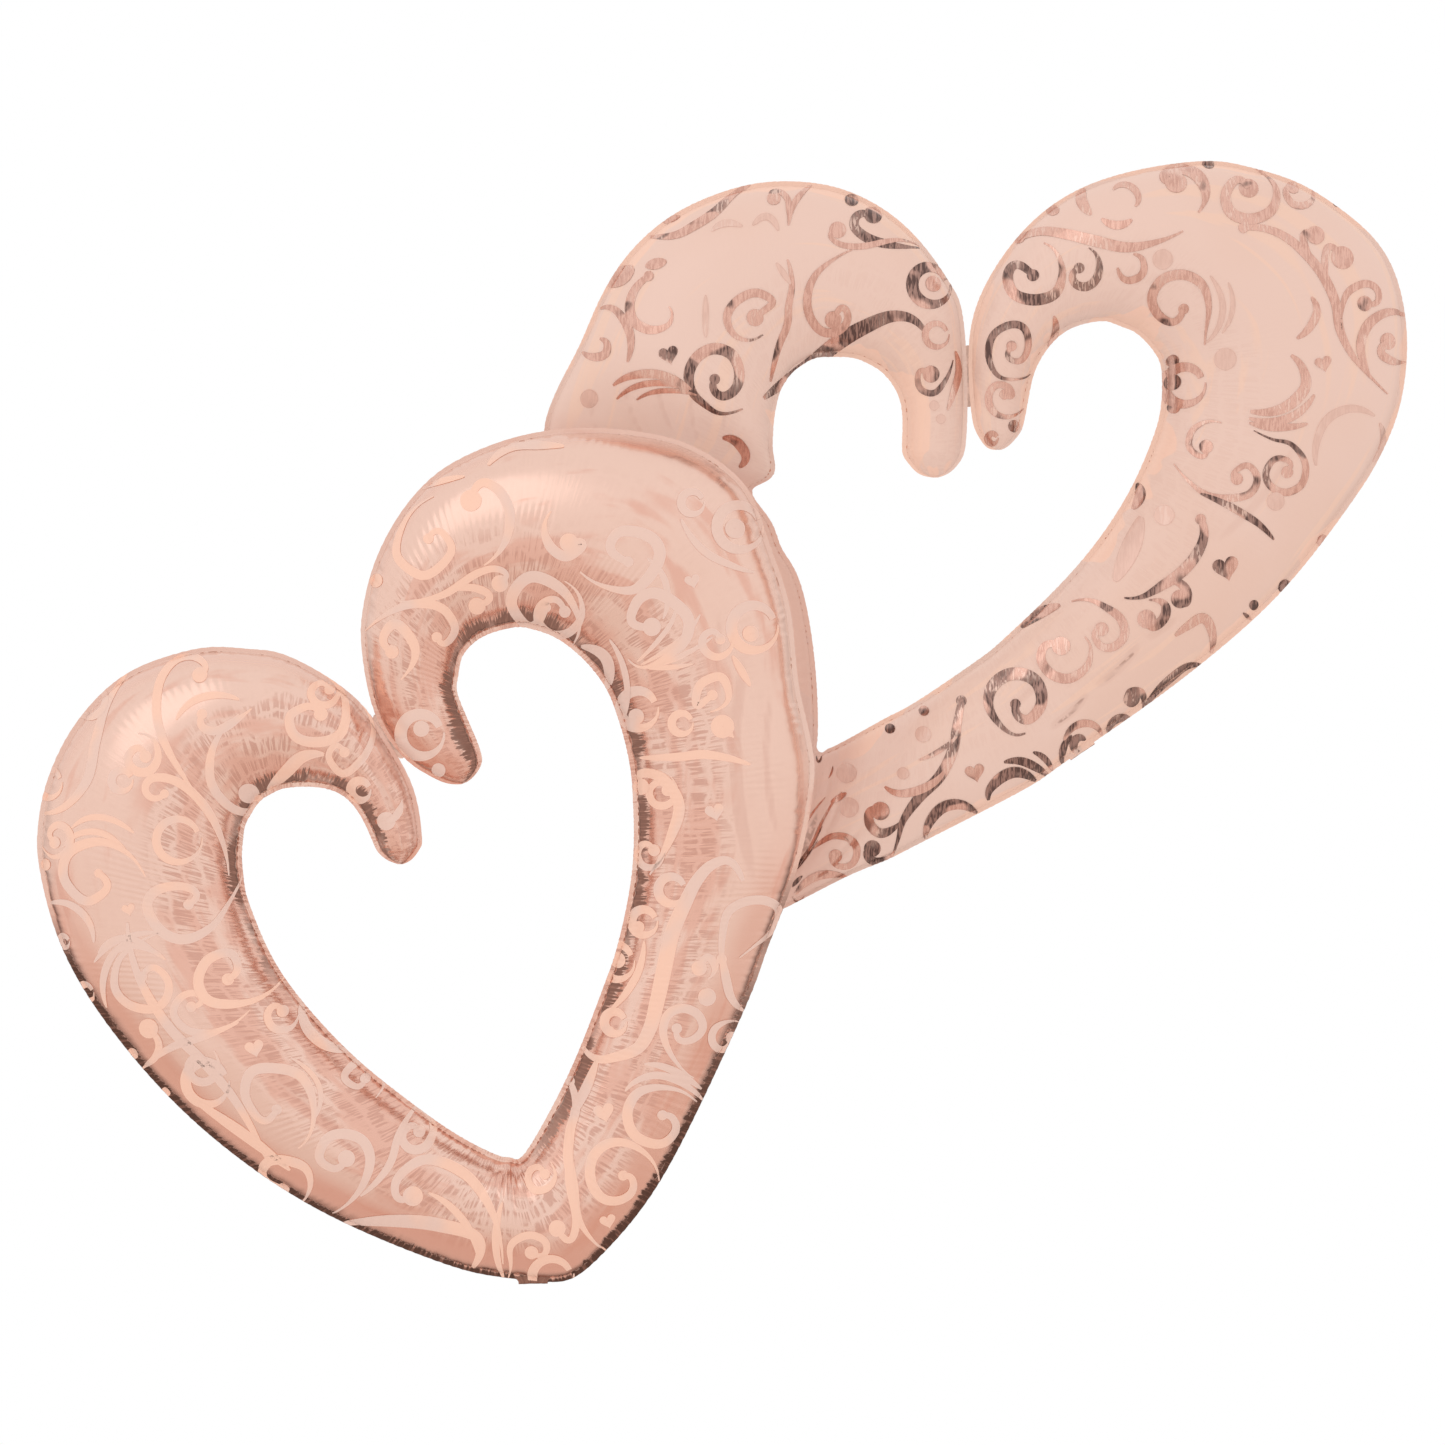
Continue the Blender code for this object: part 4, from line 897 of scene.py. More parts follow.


# The rim weight sets how strongly painted shade and painted dark reflections are laid along the seals.
def foil_finish(name, seed, light=LIGHT, deep=DEEP, rim_shade=1.0, rough=0.17, ticked=1.0, depth=1.0):
    f = Finish(name)
    coords = f.node("ShaderNodeUVMap", uv_map="film").outputs[0]
    place = f.node("ShaderNodeTexCoord").outputs["Object"]
    inner = f.node("ShaderNodeAttribute", attribute_name="inner_mm").outputs["Fac"]
    outer = f.node("ShaderNodeAttribute", attribute_name="outer_mm").outputs["Fac"]
    lean = f.node("ShaderNodeAttribute", attribute_name="lean").outputs["Fac"]
    move = (seed * 3.7, seed * 1.9, 0.0)
    ticks, shown, near = film_ticks(f, coords, move)
    fold = f.step(f.node("ShaderNodeAttribute", attribute_name="fold").outputs["Fac"], 0.45, 1.1)
    # painted reflections: pale flat patches of the pale tone painted over the deeper foil tone, ragged along the tube
    streak = f.noise(f.stretch(coords, (9.0, 8.0, 1.0), move), 1.0, 3.0, 0.6, 0.4)
    cloud = f.noise(place, 7.5, 4.0, 0.6, 0.6)
    pale = f.math("ADD", f.math("MULTIPLY", streak, 0.55), f.math("MULTIPLY", cloud, 0.45))
    limit = f.math("MULTIPLY", near, 0.085)
    pale = f.step(f.math("SUBTRACT", pale, limit), 0.375, 0.470)
    colour = f.mix(f.math("MULTIPLY", f.math("SUBTRACT", 1.0, pale), 0.95 * depth), light, deep)
    # painted shade: the fine pleat ticks are painted darker where they show
    painted_tick_shade = f.math("MULTIPLY", f.math("MULTIPLY", ticks, shown), 0.70 * ticked)
    colour = f.mix(painted_tick_shade, colour, (0.61, 0.325, 0.250))
    # painted shade: a darker tone along the creases
    colour = f.mix(f.math("MULTIPLY", fold, 0.22), colour, (0.62, 0.33, 0.255))
    # painted shade: under the outer edge the foil is painted deep peach, and more faintly along outer edges that face
    # up
    lower = f.math("MULTIPLY", f.step(lean, -0.05, -0.60), f.step(outer, 46.0, 22.0))
    upper = f.math("MULTIPLY", f.step(lean, 0.1, 0.5), f.step(outer, 20.0, 8.0))
    painted_edge_shade = f.math("MAXIMUM", lower, f.math("MULTIPLY", upper, 0.35))
    colour = f.mix(f.math("MULTIPLY", painted_edge_shade, 0.62 * rim_shade), colour, (0.735, 0.350, 0.250))
    # ragged painted dark reflections next to the seals
    rag = f.noise(f.stretch(coords, (330.0, 3.5, 1.0), move), 1.0, 2.0, 0.65)
    slow = f.noise(f.stretch(coords, (13.0, 1.0, 1.0), move), 1.0, 3.0, 0.6)
    ragged = f.math("ADD", f.math("MULTIPLY", f.step(rag, 0.36, 0.64), 7.5), f.math("MULTIPLY", f.step(slow, 0.32, 0.64), 8.0))
    ragged = f.math("ADD", ragged, 3.2)
    gate = f.math("MULTIPLY", f.step(lean, -0.64, -0.38), f.step(slow, 0.36, 0.46, 0.25, 1.0))
    inner_far = f.math("SUBTRACT", ragged, f.math("SUBTRACT", inner, 2.0))
    inner_dark = f.math("MULTIPLY", f.step(inner_far, 0.4, 1.6), f.step(inner, 3.8, 4.8))
    inner_dark = f.math("MULTIPLY", inner_dark, gate)
    side = f.math("MULTIPLY", f.step(lean, -0.28, -0.58), f.step(lean, -0.99, -0.72))
    reach = f.math("ADD", f.math("MULTIPLY", side, 4.6), f.math("MULTIPLY", f.step(rag, 0.36, 0.64), 3.0))
    outer_far = f.math("SUBTRACT", f.math("ADD", reach, f.math("MULTIPLY", slow, 7.0)), outer)
    outer_dark = f.math("MULTIPLY", f.step(outer_far, 0.0, 2.5), f.step(lean, -0.24, -0.46))
    outer_dark = f.math("MULTIPLY", outer_dark, f.step(f.math("ADD", inner, outer), 78.0, 104.0))
    dark = f.math("MULTIPLY", f.math("MAXIMUM", inner_dark, outer_dark), rim_shade)
    colour = f.mix(f.math("MULTIPLY", dark, 0.94), colour, f.mix(f.step(rag, 0.40, 0.50), DARK, DEEPEST_REFLECTION))
    # painted shade: a softer darker band around the dark reflections by the inner seal
    painted_halo_shade = f.math("MULTIPLY", f.step(f.math("SUBTRACT", ragged, inner), -12.0, 2.0), f.step(inner, 4.0, 6.0))
    colour = f.mix(f.math("MULTIPLY", f.math("MULTIPLY", painted_halo_shade, gate), 0.26 * rim_shade), colour, (0.68, 0.34, 0.255))
    height = f.math("ADD", f.math("MULTIPLY", ticks, f.math("ADD", shown, 0.10)), f.math("MULTIPLY", rag, 0.3))
    surface = f.bump(height, 0.28 * ticked, 0.0005)
    surface = f.bump(f.noise(place, 38.0, 3.0, 0.5), 0.10, 0.002, surface)
    rough_value = f.math("ADD", f.math("MULTIPLY", cloud, 0.10), rough)
    metal = f.step(dark, 0.1, 0.7, 0.92, 0.0)
    brim = f.math("MULTIPLY", f.step(outer, 16.0, 5.0), f.step(lean, -0.30, 0.05))
    metal = f.math("MULTIPLY", metal, f.math("SUBTRACT", 1.0, f.math("MULTIPLY", brim, 0.75 * rim_shade)))
    shader = f.shade(colour, metal, f.math("ADD", rough_value, f.math("MULTIPLY", dark, 0.4)), surface)
    f.put(shader.inputs["Specular IOR Level"], f.step(dark, 0.1, 0.6, 0.5, 0.0))
    return f.done(shader)


def pastel_finish(name, seed):
    """Satin print over the foil: flat pale pink with a little of the foil's shine."""
    f = Finish(name)
    coords = f.node("ShaderNodeUVMap", uv_map="film").outputs[0]
    place = f.node("ShaderNodeTexCoord").outputs["Object"]
    move = (seed * 3.7, seed * 1.9, 0.0)
    ticks, mask, _ = film_ticks(f, coords, move)
    cloud = f.noise(place, 4.0, 3.0, 0.55)
    colour = f.mix(f.step(cloud, 0.42, 0.66), (0.860, 0.590, 0.490), (0.845, 0.560, 0.450))
    peach = f.noise(f.stretch(coords, (4.0, 7.0, 1.0), move), 1.0, 3.0, 0.6, 1.0)
    colour = f.mix(f.math("MULTIPLY", f.step(peach, 0.57, 0.63), 0.55), colour, (0.93, 0.60, 0.45))
    # painted shade: the fine pleat ticks are painted a little darker where they show
    painted_tick_shade = f.math("MULTIPLY", f.math("MULTIPLY", ticks, mask), 0.14)
    colour = f.mix(painted_tick_shade, colour, (0.72, 0.42, 0.33))
    inner = f.node("ShaderNodeAttribute", attribute_name="inner_mm").outputs["Fac"]
    outer = f.node("ShaderNodeAttribute", attribute_name="outer_mm").outputs["Fac"]
    # painted shade: patchy peach bands painted along the inner edge, narrower along the outer edge
    patch = f.noise(f.stretch(coords, (9.0, 1.0, 1.0), move), 1.0, 3.0, 0.6)
    spread = f.math("MULTIPLY", f.step(patch, 0.42, 0.66), 26.0)
    edge = f.math("MAXIMUM", f.math("SUBTRACT", spread, inner), f.math("SUBTRACT", f.math("MULTIPLY", spread, 0.5), outer))
    colour = f.mix(f.math("MULTIPLY", f.step(edge, 0.0, 3.0), 0.75), colour, (0.975, 0.600, 0.450))
    fold = f.node("ShaderNodeAttribute", attribute_name="fold").outputs["Fac"]
    rag = f.noise(f.stretch(place, (160.0, 160.0, 160.0)), 1.0, 2.0, 0.5)
    behind = f.node("ShaderNodeAttribute", attribute_name="behind").outputs["Fac"]
    colour = f.mix(f.math("MULTIPLY", f.step(behind, 0.55, 0.95), 0.75), colour, (0.74, 0.43, 0.34))
    # painted shade: dark ragged lines along the deepest creases, and a softer darkening over all creases
    line = f.math("MULTIPLY", f.step(fold, 1.35, 1.85), f.step(rag, 0.36, 0.50))
    colour = f.mix(f.math("MULTIPLY", line, 0.75), colour, (0.36, 0.190, 0.145))
    colour = f.mix(f.math("MULTIPLY", f.step(fold, 0.5, 1.1), 0.22), colour, (0.70, 0.41, 0.32))
    surface = f.bump(f.math("MULTIPLY", ticks, f.math("ADD", mask, 0.1)), 0.18, 0.0005)
    surface = f.bump(f.noise(place, 30.0, 3.0, 0.5), 0.08, 0.002, surface)
    shader = f.shade(colour, 0.10, 0.48, surface)
    shader.inputs["Coat Weight"].default_value = 0.15
    shader.inputs["Coat Roughness"].default_value = 0.25
    return f.done(shader)


def print_finish(name):
    """Pale satin ink of the front heart's scrolls."""
    f = Finish(name)
    coords = f.node("ShaderNodeUVMap", uv_map="film").outputs[0]
    place = f.node("ShaderNodeTexCoord").outputs["Object"]
    cloud = f.noise(place, 7.0, 3.0, 0.6)
    grain = f.noise(f.stretch(coords, (600.0, 1.0, 1.0)), 1.0, 2.0, 0.5)
    colour = f.mix(f.step(cloud, 0.44, 0.54), (0.870, 0.600, 0.500), (0.985, 0.610, 0.460))
    colour = f.mix(f.math("MULTIPLY", grain, 0.10), colour, (0.70, 0.42, 0.34))
    surface = f.bump(grain, 0.06, 0.0003)
    return f.done(f.shade(colour, 0.20, 0.40, surface))


def bare_finish(name):
    """Bare foil of the rear heart's scrolls: painted reflections, dark in places and pink in others, with fine pleats.
    """
    f = Finish(name)
    coords = f.node("ShaderNodeUVMap", uv_map="film").outputs[0]
    place = f.node("ShaderNodeTexCoord").outputs["Object"]
    shaded = f.node("ShaderNodeAttribute", attribute_name="shade").outputs["Fac"]
    # painted shade and reflections: slow noise, raised by the shade mark, picks the dark streaks; the rest is painted
    # pale pink
    along = f.noise(f.stretch(place, (34.0, 34.0, 34.0)), 1.0, 1.5, 0.5)
    ticks = f.noise(f.stretch(place, (520.0, 40.0, 90.0)), 1.0, 2.0, 0.6, 0.4)
    dark = f.math("ADD", along, f.math("MULTIPLY", shaded, 0.22))
    pale = f.mix(f.step(ticks, 0.42, 0.58), (0.77, 0.465, 0.375), (0.64, 0.36, 0.285))
    deep = f.mix(f.step(ticks, 0.42, 0.58), (0.38, 0.225, 0.185), (0.125, 0.072, 0.062))
    colour = f.mix(f.step(dark, 0.63, 0.71), pale, deep)
    # painted light: marks of -1 paint the foil paler
    colour = f.mix(f.math("MULTIPLY", f.step(shaded, 0.0, -1.0), 0.62), colour, (0.83, 0.55, 0.45))
    # in patches pale ticks are painted across the bare foil along its pleats
    patch = f.noise(f.stretch(place, (26.0, 26.0, 26.0), (3.1, 0.0, 1.7)), 1.0, 2.0, 0.5)
    pale_ticks = f.math("MULTIPLY", f.step(ticks, 0.50, 0.58), f.step(patch, 0.50, 0.60))
    colour = f.mix(f.math("MULTIPLY", pale_ticks, 0.8), colour, (0.87, 0.60, 0.50))
    surface = f.bump(ticks, 0.25, 0.0005)
    return f.done(f.shade(colour, f.step(shaded, 0.0, -1.0, 0.85, 0.25), 0.22, surface))


def seal_finish(name, base, rough=0.32):
    """Sealed double film, crimped by the heating bar in a fine diamond grid."""
    f = Finish(name)
    place = f.node("ShaderNodeTexCoord").outputs["Object"]
    turned = f.node(
        "ShaderNodeMapping", {"Vector": place, "Rotation": (0.0, 0.785, 0.0), "Scale": (900.0, 900.0, 900.0)}
    ).outputs[0]
    cut = f.node("ShaderNodeTexVoronoi", {"Vector": turned, "Scale": 1.0}, feature="F1", distance="CHEBYCHEV")
    cell = f.step(cut.outputs["Distance"], 0.25, 0.55)
    cloud = f.noise(place, 60.0, 3.0, 0.5)
    colour = f.mix(f.step(cloud, 0.4, 0.65), base, tuple(0.72 * c for c in base))
    surface = f.bump(f.math("ADD", cell, f.math("MULTIPLY", cloud, 0.8)), 0.35, 0.0004)
    return f.done(f.shade(colour, 0.85, rough, surface))


def foam_finish(name):
    f = Finish(name)
    place = f.node("ShaderNodeTexCoord").outputs["Object"]
    pores = f.node("ShaderNodeTexVoronoi", {"Vector": place, "Scale": 900.0})
    grain = f.noise(place, 260.0, 3.0, 0.6)
    colour = f.mix(grain, (0.90, 0.89, 0.86), (0.80, 0.78, 0.74))
    surface = f.bump(f.math("ADD", pores.outputs["Distance"], grain), 0.5, 0.0006)
    return f.done(f.shade(colour, 0.0, 0.75, surface))


def valve_finish(name):
    """Clear valve film with a milky heat-printed band across it."""
    f = Finish(name)
    coords = f.node("ShaderNodeUVMap", uv_map="film").outputs[0]
    place = f.node("ShaderNodeTexCoord").outputs["Object"]
    band = f.node("ShaderNodeTexWave", {"Vector": coords, "Scale": 30.0, "Distortion": 0.6}, bands_direction="Y")
    milk = f.step(band.outputs["Fac"] if "Fac" in band.outputs else band.outputs[1], 0.45, 0.60)
    grain = f.noise(place, 180.0, 3.0, 0.5)
    colour = f.mix(milk, (0.93, 0.92, 0.90), (0.82, 0.80, 0.78))
    surface = f.bump(grain, 0.2, 0.0005)
    return f.done(f.shade(colour, 0.0, 0.28, surface))


# ---------------------------------------------------------------- tails


FOLD_OFFSET = 1.3
TAIL_LENGTH = 70.0
TAILS = {}
for prefix in ("front_tail", "rear_tail"):
    joint = next(j for j in frame["joints"] if j["name"] == prefix + "_fold")
    root = np.array(joint["pos_m"]) / MM
    tangent = np.array(joint["axis"], float)
    tangent /= np.linalg.norm(tangent)
    out = np.cross(tangent, [0.0, 1.0, 0.0])
    if prefix == "front_tail" and out[2] > 0 or prefix == "rear_tail" and out[0] < 0:
        out = -out
    fold = math.radians(105.0)
    away = out * math.cos(fold) + np.array([0.0, 1.0, 0.0]) * math.sin(fold)
    low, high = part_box(prefix + "_inner_film")
    TAILS[prefix] = (root, tangent, out, away, np.cross(tangent, away))


def tail_sheet(name, prefix, level, root_width, mouth_width, length, seed, seal=True):
    """One ply of a tail: side seals pressed flat, the middle softly rippled, mouth corners rounded."""
    root, tangent, out, away, face = TAILS[prefix]
    rows, cols = 84, 45
    t = np.linspace(0.0, 1.0, rows)[:, None]
    w = np.linspace(-1.0, 1.0, cols)[None, :]
    half = (root_width + (mouth_width - root_width) * t) / 2
    y = FOLD_OFFSET + t * length
    corner = np.maximum(np.abs(w) * half - (half - 4.0), 0.0)
    trim = 4.0 - np.sqrt(np.maximum(16.0 - corner**2, 0.0))
    y = y - trim * smooth((t - 0.80) / 0.20)
    x = w * (half - 0.10 + 0.18 * waves(seed, y / 7.0) * (np.abs(w) > 0.98))
    edge = smooth((1.0 - np.abs(w)) * half / 4.0)
    puff = 0.16 * edge if seal else 0.08 * edge
    ripple = puff * waves(seed + 1, y / 9.0, x / 14.0, terms=8) + 0.06 * edge * np.sin(y * 1.25 + 1.5 * waves(seed + 2, x / 9.0))
    crimp = 0.045 * (1.0 - edge) * np.sin(2 * math.pi * y / 1.9)
    z = level * 0.6 + ripple + crimp + 0.05 * np.sign(level) * edge
    p = root + tangent * x[..., None] + away * y[..., None] + face * z[..., None]
    return sheet_any(name, p, y * np.ones_like(x), w * np.ones_like(y))


def neck_sheet(name, prefix, level, end, seed):
    """Film that runs out of the sealed margin, round the crease and into the tail."""
    root, tangent, out, away, face = TAILS[prefix]
    rows, cols = 30, 45
    t = np.linspace(-6.5, end, rows)
    w = np.linspace(-1.0, 1.0, cols)
    before = -np.asarray(out)
    p = np.zeros((rows, cols, 3))
    bend = FOLD_OFFSET
    n_before = np.cross(tangent, out)
    for i, s in enumerate(t):
        if s < -bend:
            at, nrm = root + out * s, n_before
        elif s > bend:
            at, nrm = root + away * s, face
        else:
            f = (s + bend) / (2 * bend)
            a, c = root - out * bend, root + away * bend
            at = (1 - f) ** 2 * a + 2 * f * (1 - f) * root + f * f * c
            nrm = (1 - f) * n_before + f * face
            nrm = nrm / np.linalg.norm(nrm)
        flare = 1.0 + 0.22 * smooth((-s - 1.0) / 5.0)
        half = (26.0 + 8.0 * max(s, 0.0) / TAIL_LENGTH) / 2 * flare
        gather = 0.05 * np.sin(2 * math.pi * w * half / 3.1 + seed) * smooth((6.0 - abs(s)) / 5.0)
        off = level * 0.6 + gather
        p[i] = at + tangent * (w * half)[:, None] + nrm * off[:, None]
    return sheet_any(name, p, t[:, None] * np.ones((1, cols)), w[None, :] * np.ones((rows, 1)))


def sheet_any(name, p, s, v):
    rows, cols, _ = p.shape
    index = np.arange(rows * cols).reshape(rows, cols)
    quads = np.stack([index[:-1, :-1], index[1:, :-1], index[1:, 1:], index[:-1, 1:]], axis=-1).reshape(-1, 4)
    return make_mesh(name, p.reshape(-1, 3) * MM, quads, np.stack([s.ravel() * MM, v.ravel()], axis=-1))


def foam_pad(name, node):
    """Round sticky pad: die-cut foam squeezed between the films, waisted and uneven at its side."""
    low, high = (np.array(c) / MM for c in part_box(node))
    centre, radius, depth = (low + high) / 2, (high[0] - low[0]) / 2 - 0.25, (high[1] - low[1]) / 2
    turns, seed = 144, int(abs(centre[0]) * 7)
    angle = np.linspace(0.0, 2 * math.pi, turns, endpoint=False)
    profile = [(r, -1.0 + 0.02 * (r / 0.96) ** 4) for r in (0.25, 0.5, 0.75, 0.90, 0.96)]
    profile += [(1.0 - 0.06 * math.cos(math.pi * k / 28) ** 2 * (k % 14 != 14), k / 14.0) for k in range(-13, 14)]
    profile += [(r, 1.0 - 0.02 * (r / 0.96) ** 4) for r in (0.96, 0.90, 0.75, 0.5, 0.25)]
    verts = [(centre[0], centre[1] - depth * 0.99, centre[2])]
    for r, y in profile:
        cut = 1.0 - 0.012 - 0.008 * waves(seed, angle * 3.0, y * 2.0 * np.ones(turns), terms=9) * (r > 0.9)
        dent = 0.012 * waves(seed + 1, r * np.cos(angle) * 2.5, r * np.sin(angle) * 2.5, terms=8) * (r < 0.95)
        for a, c, d in zip(angle, cut, dent * np.ones(turns)):
            verts.append((
                centre[0] + radius * r * c * math.cos(a),
                centre[1] + depth * 0.985 * (y - math.copysign(abs(d), y)),
                centre[2] + radius * r * c * math.sin(a),
            ))
    verts.append((centre[0], centre[1] + depth * 0.97, centre[2]))
    faces, rings = [], len(profile)
    for k in range(turns):
        n = (k + 1) % turns
        faces.append((0, 1 + k, 1 + n))
        for ring in range(rings - 1):
            base = 1 + ring * turns
            faces.append((base + k, base + turns + k, base + turns + n, base + n))
        base = 1 + (rings - 1) * turns
        faces.append((len(verts) - 1, base + n, base + k))
    mesh = bpy.data.meshes.new(name)
    mesh.from_pydata([tuple(c * MM for c in v) for v in verts], [], faces)
    mesh.update()
    mesh.shade_smooth()
    ob = bpy.data.objects.new(name, mesh)
    bpy.context.scene.collection.objects.link(ob)
    return ob


def thicken(ob, thickness):
    solid = ob.modifiers.new("ply", "SOLIDIFY")
    solid.thickness = thickness * MM
    solid.offset = 0.0
    return ob


def wear(ob, mat):
    ob.data.materials.clear()
    ob.data.materials.append(mat)
    return ob


# ---------------------------------------------------------------- build

ROWS = 1900
STEPS = 42
FRONT_CREASES = (
    (-327, 10, -278, -110, 5.0, 1.3), (-346, 25, -318, -70, 5.5, 1.1), (-312, 28, -246, -48, 5.5, 1.3),
    (-524, -250, -470, -331, 7.0, 1.6), (-505, -200, -440, -300, 6.0, 1.0), (-186, -395, -186, -439, 3.5, 1.6),
    (-196, -398, -202, -450, 3.5, 1.2), (-176, -398, -168, -448, 3.5, 1.2), (-205, -400, -225, -450, 3.0, 0.9),
    (20, 74, 30, -160, 8.0, 1.6), (-2, 110, 10, -40, 6.0, 1.2), (44, 40, 52, -120, 6.0, 1.3),
    (-480, -215, -200, -465, 9.0, 1.2), (-610, -60, -560, -230, 7.0, 1.0),
)
REAR_CREASES = (
    (289, -10, 329, 27, 5.0, 2.0), (329, 27, 375, 71, 5.0, 2.0), (375, 71, 409, 94, 5.0, 1.5),
    (56, -147, 98, -46, 4.0, 2.2), (56, -147, 89, -55, 3.0, 1.8), (56, -147, 84, -34, 3.5, 2.0),
    (63, -140, 110, -60, 3.5, 1.6), (70, -150, 130, -90, 3.5, 1.4), (250, 5, 300, 60, 5.0, 1.4),
    (-90, 300, -70, 250, 3.5, 1.3), (-60, 305, -45, 255, 3.5, 1.4), (-120, 290, -110, 245, 3.5, 1.2),
    (-30, 300, -20, 240, 3.5, 1.3), (0, 300, 8, 235, 3.5, 1.2), (430, 150, 520, 260, 7.0, 1.2),
)

front_front = film("front_film_printed", "front", -1, ROWS, STEPS, FRONT_CREASES)
front_rear = film("front_film_plain", "front", 1, ROWS, STEPS, ())
rear_front = film("rear_film_printed", "rear", -1, ROWS, STEPS, REAR_CREASES, 0.25, 0.30, 0.35)
rear_rear = film("rear_film_plain", "rear", 1, ROWS, STEPS, (), 0.25, 0.30, 0.5)

wear(front_front, foil_finish("front_printed_foil", 1.0))
wear(front_rear, foil_finish("front_plain_foil", 2.0, rim_shade=0.4))
wear(rear_front, pastel_finish("rear_printed_foil", 3.0))
wear(rear_rear, foil_finish("rear_plain_foil", 4.0, rim_shade=0.4))
for ob, body, node in (
    (front_front, "front_heart", "front_heart_front_film"),
    (front_rear, "front_heart", "front_heart_rear_film"),
    (rear_front, "rear_heart", "rear_heart_front_film"),
    (rear_rear, "rear_heart", "rear_heart_rear_film"),
):
    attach(ob, body)
    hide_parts(node)
    ob.visible_diffuse = False  # an even light tent: the films don't shade each other

front_print = lay_print(
    front_front, FRONT_SIZE, "front_scroll_print", FRONT_SCROLLS, FRONT_RINGS, FRONT_BALLS, FRONT_HEARTS, 1.3
)
wear(front_print, print_finish("front_scroll_ink"))
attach(front_print, "front_heart")
rear_print = lay_print(
    rear_front, REAR_SIZE, "rear_scroll_foil", REAR_SCROLLS, REAR_RINGS, REAR_BALLS, REAR_HEARTS, 1.25
)
wear(rear_print, bare_finish("rear_scroll_bare_foil"))
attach(rear_print, "rear_heart")

plain_ply = foil_finish("tail_foil", 5.0, rim_shade=0.0, rough=0.2, ticked=0.12, depth=0.35)
neck_plies = {
    # painted dark reflection: the front neck foil is painted dark brown, like the dark reflections along the seals
    "front_tail": foil_finish("front_neck_foil", 6.0, (0.30, 0.15, 0.11), (0.20, 0.095, 0.07), 0.0, 0.35, 0.3),
    "rear_tail": pastel_finish("rear_neck_print", 3.0),
}
valve_ply = valve_finish("valve_film")
for prefix, host in (("front_tail", "front_heart"), ("rear_tail", "rear_heart")):
    root, tangent, out, away, face = TAILS[prefix]
    mouth = prefix + "_mouth"
    for label, level, body, rw, mw, length, mat, seed in (
        ("outer_film", -1.5, prefix, 26.0, 34.0, TAIL_LENGTH, plain_ply, 61),
        ("valve_outer_ply", -0.5, prefix, 16.0, 22.0, TAIL_LENGTH - 3.0, valve_ply, 63),
        ("valve_inner_ply", 0.5, mouth, 16.0, 22.0, TAIL_LENGTH - 3.0, valve_ply, 65),
        ("inner_film", 1.5, mouth, 26.0, 34.0, TAIL_LENGTH, plain_ply, 67),
    ):
        node = prefix + "_" + label
        ply = tail_sheet(node + "_visual", prefix, level, rw, mw, length, seed, "film" in label)
        thicken(ply, 0.12)
        wear(ply, mat)
        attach(ply, body)
        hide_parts(node)
    for label, level, end in (("outer", -1.3, 4.0), ("inner", 1.3, 1.12)):
        neck = neck_sheet(prefix + "_neck_" + label, prefix, level * 0.55, end, 3.0)
        wear(neck, neck_plies[prefix])
        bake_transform(neck)

for node in ("front_notch_tab", "rear_notch_tab"):
    tab = frame["nodes"][node]
    tab.data.materials.clear()
    tab.data.materials.append(seal_finish(node + "_seal", (0.80, 0.52, 0.42)))
for node in ("upper_join_pad", "lower_join_pad"):
    pad = foam_pad(node + "_visual", node)
    wear(pad, foam_finish(node + "_foam"))
    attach(pad, "front_heart")
    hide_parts(node)

# ---------------------------------------------------------------- stage

world = bpy.data.worlds.new("studio")
bpy.context.scene.world = world
world.use_nodes = True
studio = world.node_tree
studio.nodes.clear()


def wnode(kind, ins=None, **props):
    made = studio.nodes.new(kind)
    for key, value in props.items():
        setattr(made, key, value)
    for key, value in (ins or {}).items():
        if isinstance(value, bpy.types.NodeSocket):
            studio.links.new(value, made.inputs[key])
        else:
            made.inputs[key].default_value = value
    return made


direction = wnode("ShaderNodeTexCoord").outputs["Generated"]
parts = wnode("ShaderNodeSeparateXYZ", {0: direction})
height = wnode("ShaderNodeMath", {0: parts.outputs[2], 1: 0.5, 2: 0.5}, operation="MULTIPLY_ADD").outputs[0]


def sky(stops):
    ramp = wnode("ShaderNodeValToRGB", {0: height})
    ramp.color_ramp.interpolation = "EASE"
    while len(ramp.color_ramp.elements) < len(stops):
        ramp.color_ramp.elements.new(0.5)
    for element, (at, colour) in zip(ramp.color_ramp.elements, stops):
        element.position = at
        element.color = (*colour, 1.0)
    return ramp.outputs[0]


# before the balloon: white walls over a peach floor; behind it: dark below, peach at the horizon
before = sky((
    (0.00, (0.86, 0.74, 0.69)), (0.22, (0.88, 0.79, 0.74)), (0.42, (0.98, 0.94, 0.92)),
    (0.60, (1.00, 0.98, 0.97)), (0.78, (1.01, 1.00, 1.00)), (1.00, (1.00, 1.00, 1.00)),
))
behind = sky((
    (0.00, (0.60, 0.50, 0.45)), (0.22, (0.34, 0.24, 0.20)), (0.40, (0.16, 0.10, 0.085)),
    (0.52, (0.50, 0.38, 0.33)), (0.66, (0.92, 0.82, 0.77)), (1.00, (1.04, 1.02, 1.01)),
))
turned_back = wnode(
    "ShaderNodeMapRange", {0: parts.outputs[1], 1: 0.30, 2: 0.86}, interpolation_type="SMOOTHSTEP", clamp=True
).outputs[0]
surround = wnode("ShaderNodeMix", {0: turned_back, 6: before, 7: behind}, data_type="RGBA").outputs[2]
light_path = wnode("ShaderNodeLightPath")
glossy = wnode("ShaderNodeBackground", {"Color": surround, "Strength": 1.0})
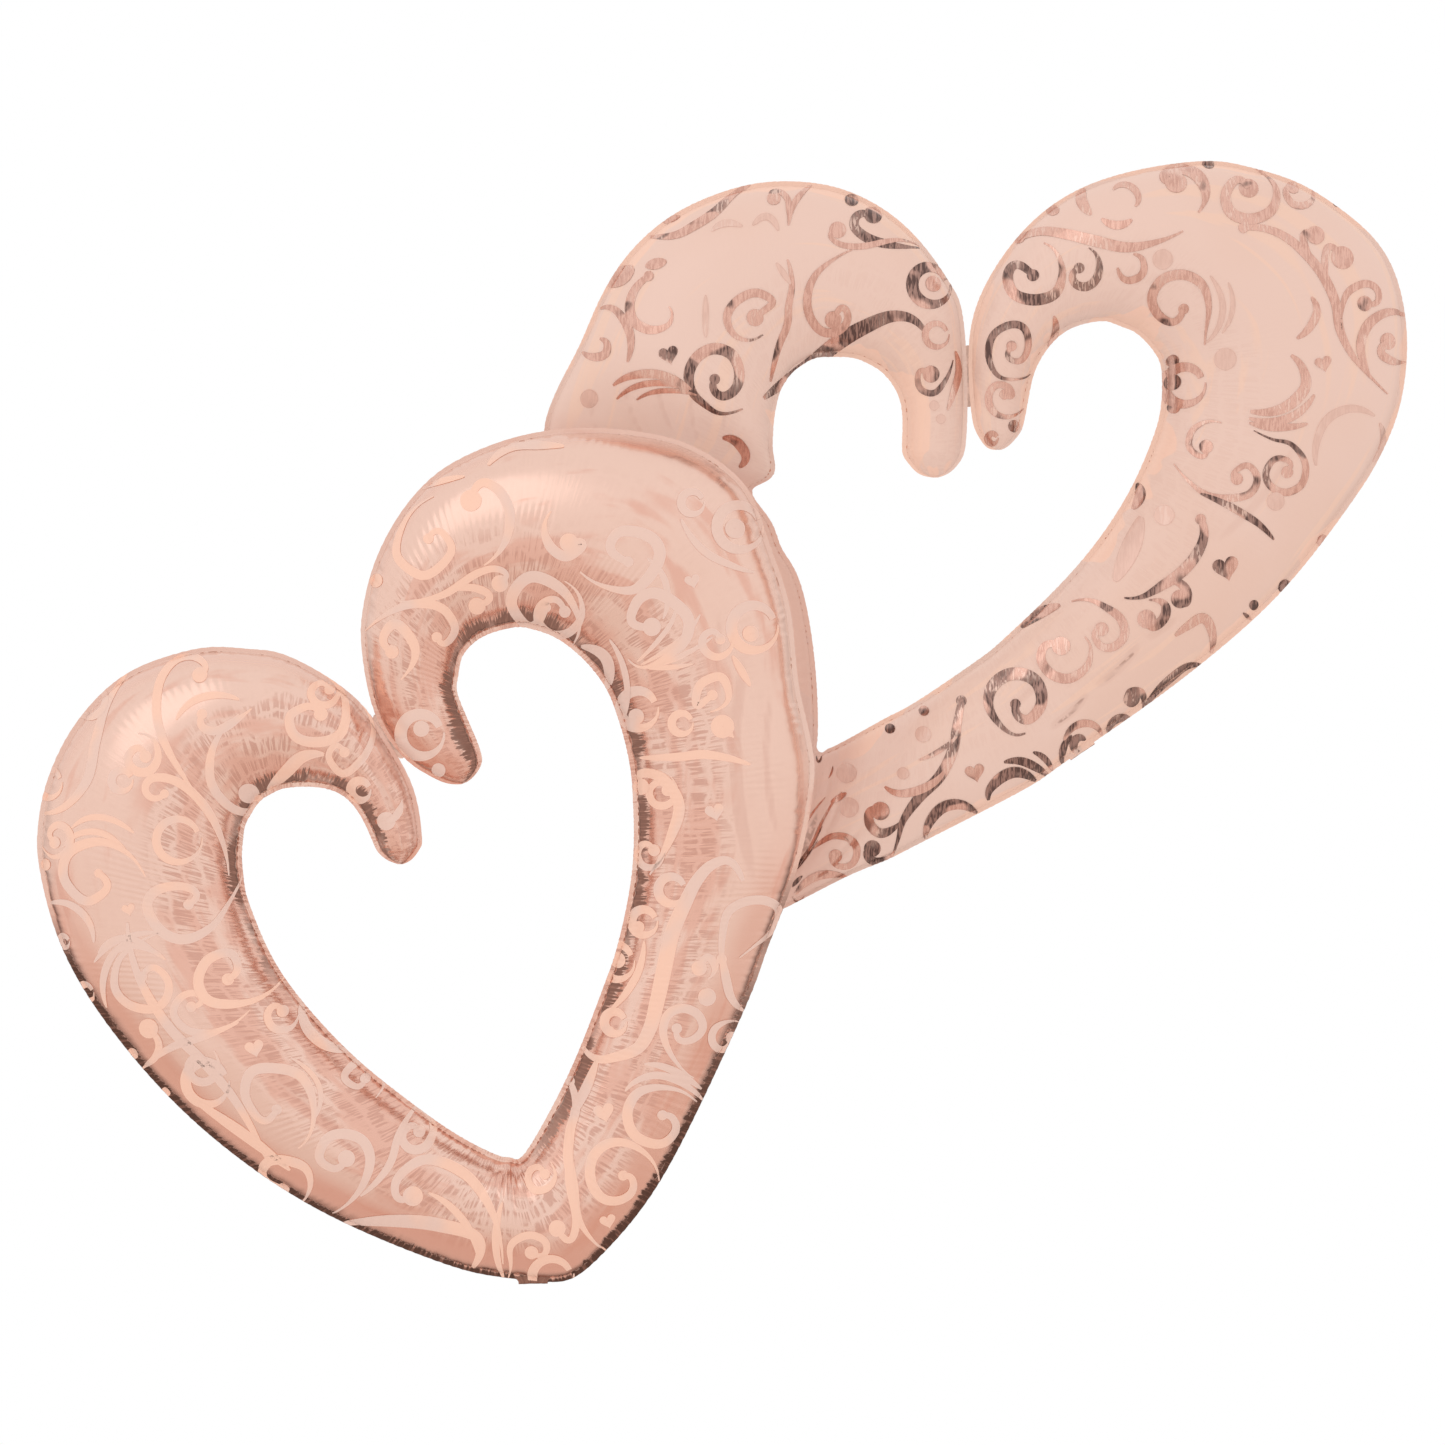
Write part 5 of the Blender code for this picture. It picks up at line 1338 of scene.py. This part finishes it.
even = wnode("ShaderNodeBackground", {"Color": (1.0, 1.0, 1.0, 1.0), "Strength": 0.95})
white = wnode("ShaderNodeBackground", {"Color": (1.0, 1.0, 1.0, 1.0), "Strength": 1.0})
first = wnode("ShaderNodeMixShader", {0: light_path.outputs["Is Glossy Ray"], 1: even.outputs[0], 2: glossy.outputs[0]})
second = wnode("ShaderNodeMixShader", {0: light_path.outputs["Is Camera Ray"], 1: first.outputs[0], 2: white.outputs[0]})
wnode("ShaderNodeOutputWorld", {"Surface": second.outputs[0]})

floor_turn = np.linspace(0.0, 2 * math.pi, 97)[:-1]
floor_mesh = bpy.data.meshes.new("floor")
floor_mesh.from_pydata([(1.1 * math.cos(a), 1.1 * math.sin(a), -0.98) for a in floor_turn], [], [list(range(96))])
floor = bpy.data.objects.new("floor", floor_mesh)
bpy.context.scene.collection.objects.link(floor)
paper = Finish("pale_floor")
grain = paper.noise(paper.node("ShaderNodeTexCoord").outputs["Object"], 40.0, 3.0, 0.5)
floor_mesh.materials.append(
    paper.done(paper.shade(paper.mix(grain, (0.93, 0.93, 0.93), (0.90, 0.90, 0.90)), 0.0, 0.9))
)
floor.visible_glossy = False


def softbox(name, at, size, power, aim=(0.0, 0.0, 0.0)):
    data = bpy.data.lights.new(name, "AREA")
    data.shape = "DISK"
    data.size = size
    data.energy = power
    data.specular_factor = 0.08
    lamp = bpy.data.objects.new(name, data)
    bpy.context.scene.collection.objects.link(lamp)
    lamp.location = at
    lamp.rotation_mode = "QUATERNION"
    lamp.rotation_quaternion = (Vector(aim) - Vector(at)).to_track_quat("-Z", "Y")


softbox("softbox_upper_left", (-1.6, -2.4, 2.0), 2.4, 4.5)

camera_data = bpy.data.cameras.new("camera")
camera_data.lens = 180.0
camera_data.sensor_width = 36.0
camera = bpy.data.objects.new("camera", camera_data)
bpy.context.scene.collection.objects.link(camera)
camera.location = (-0.0011, -6.5025, -0.00225)
camera.rotation_euler = (math.pi / 2, 0.0, 0.0)
camera_data.clip_end = 50.0
bpy.context.scene.camera = camera
bpy.context.scene.view_settings.view_transform = "Standard"
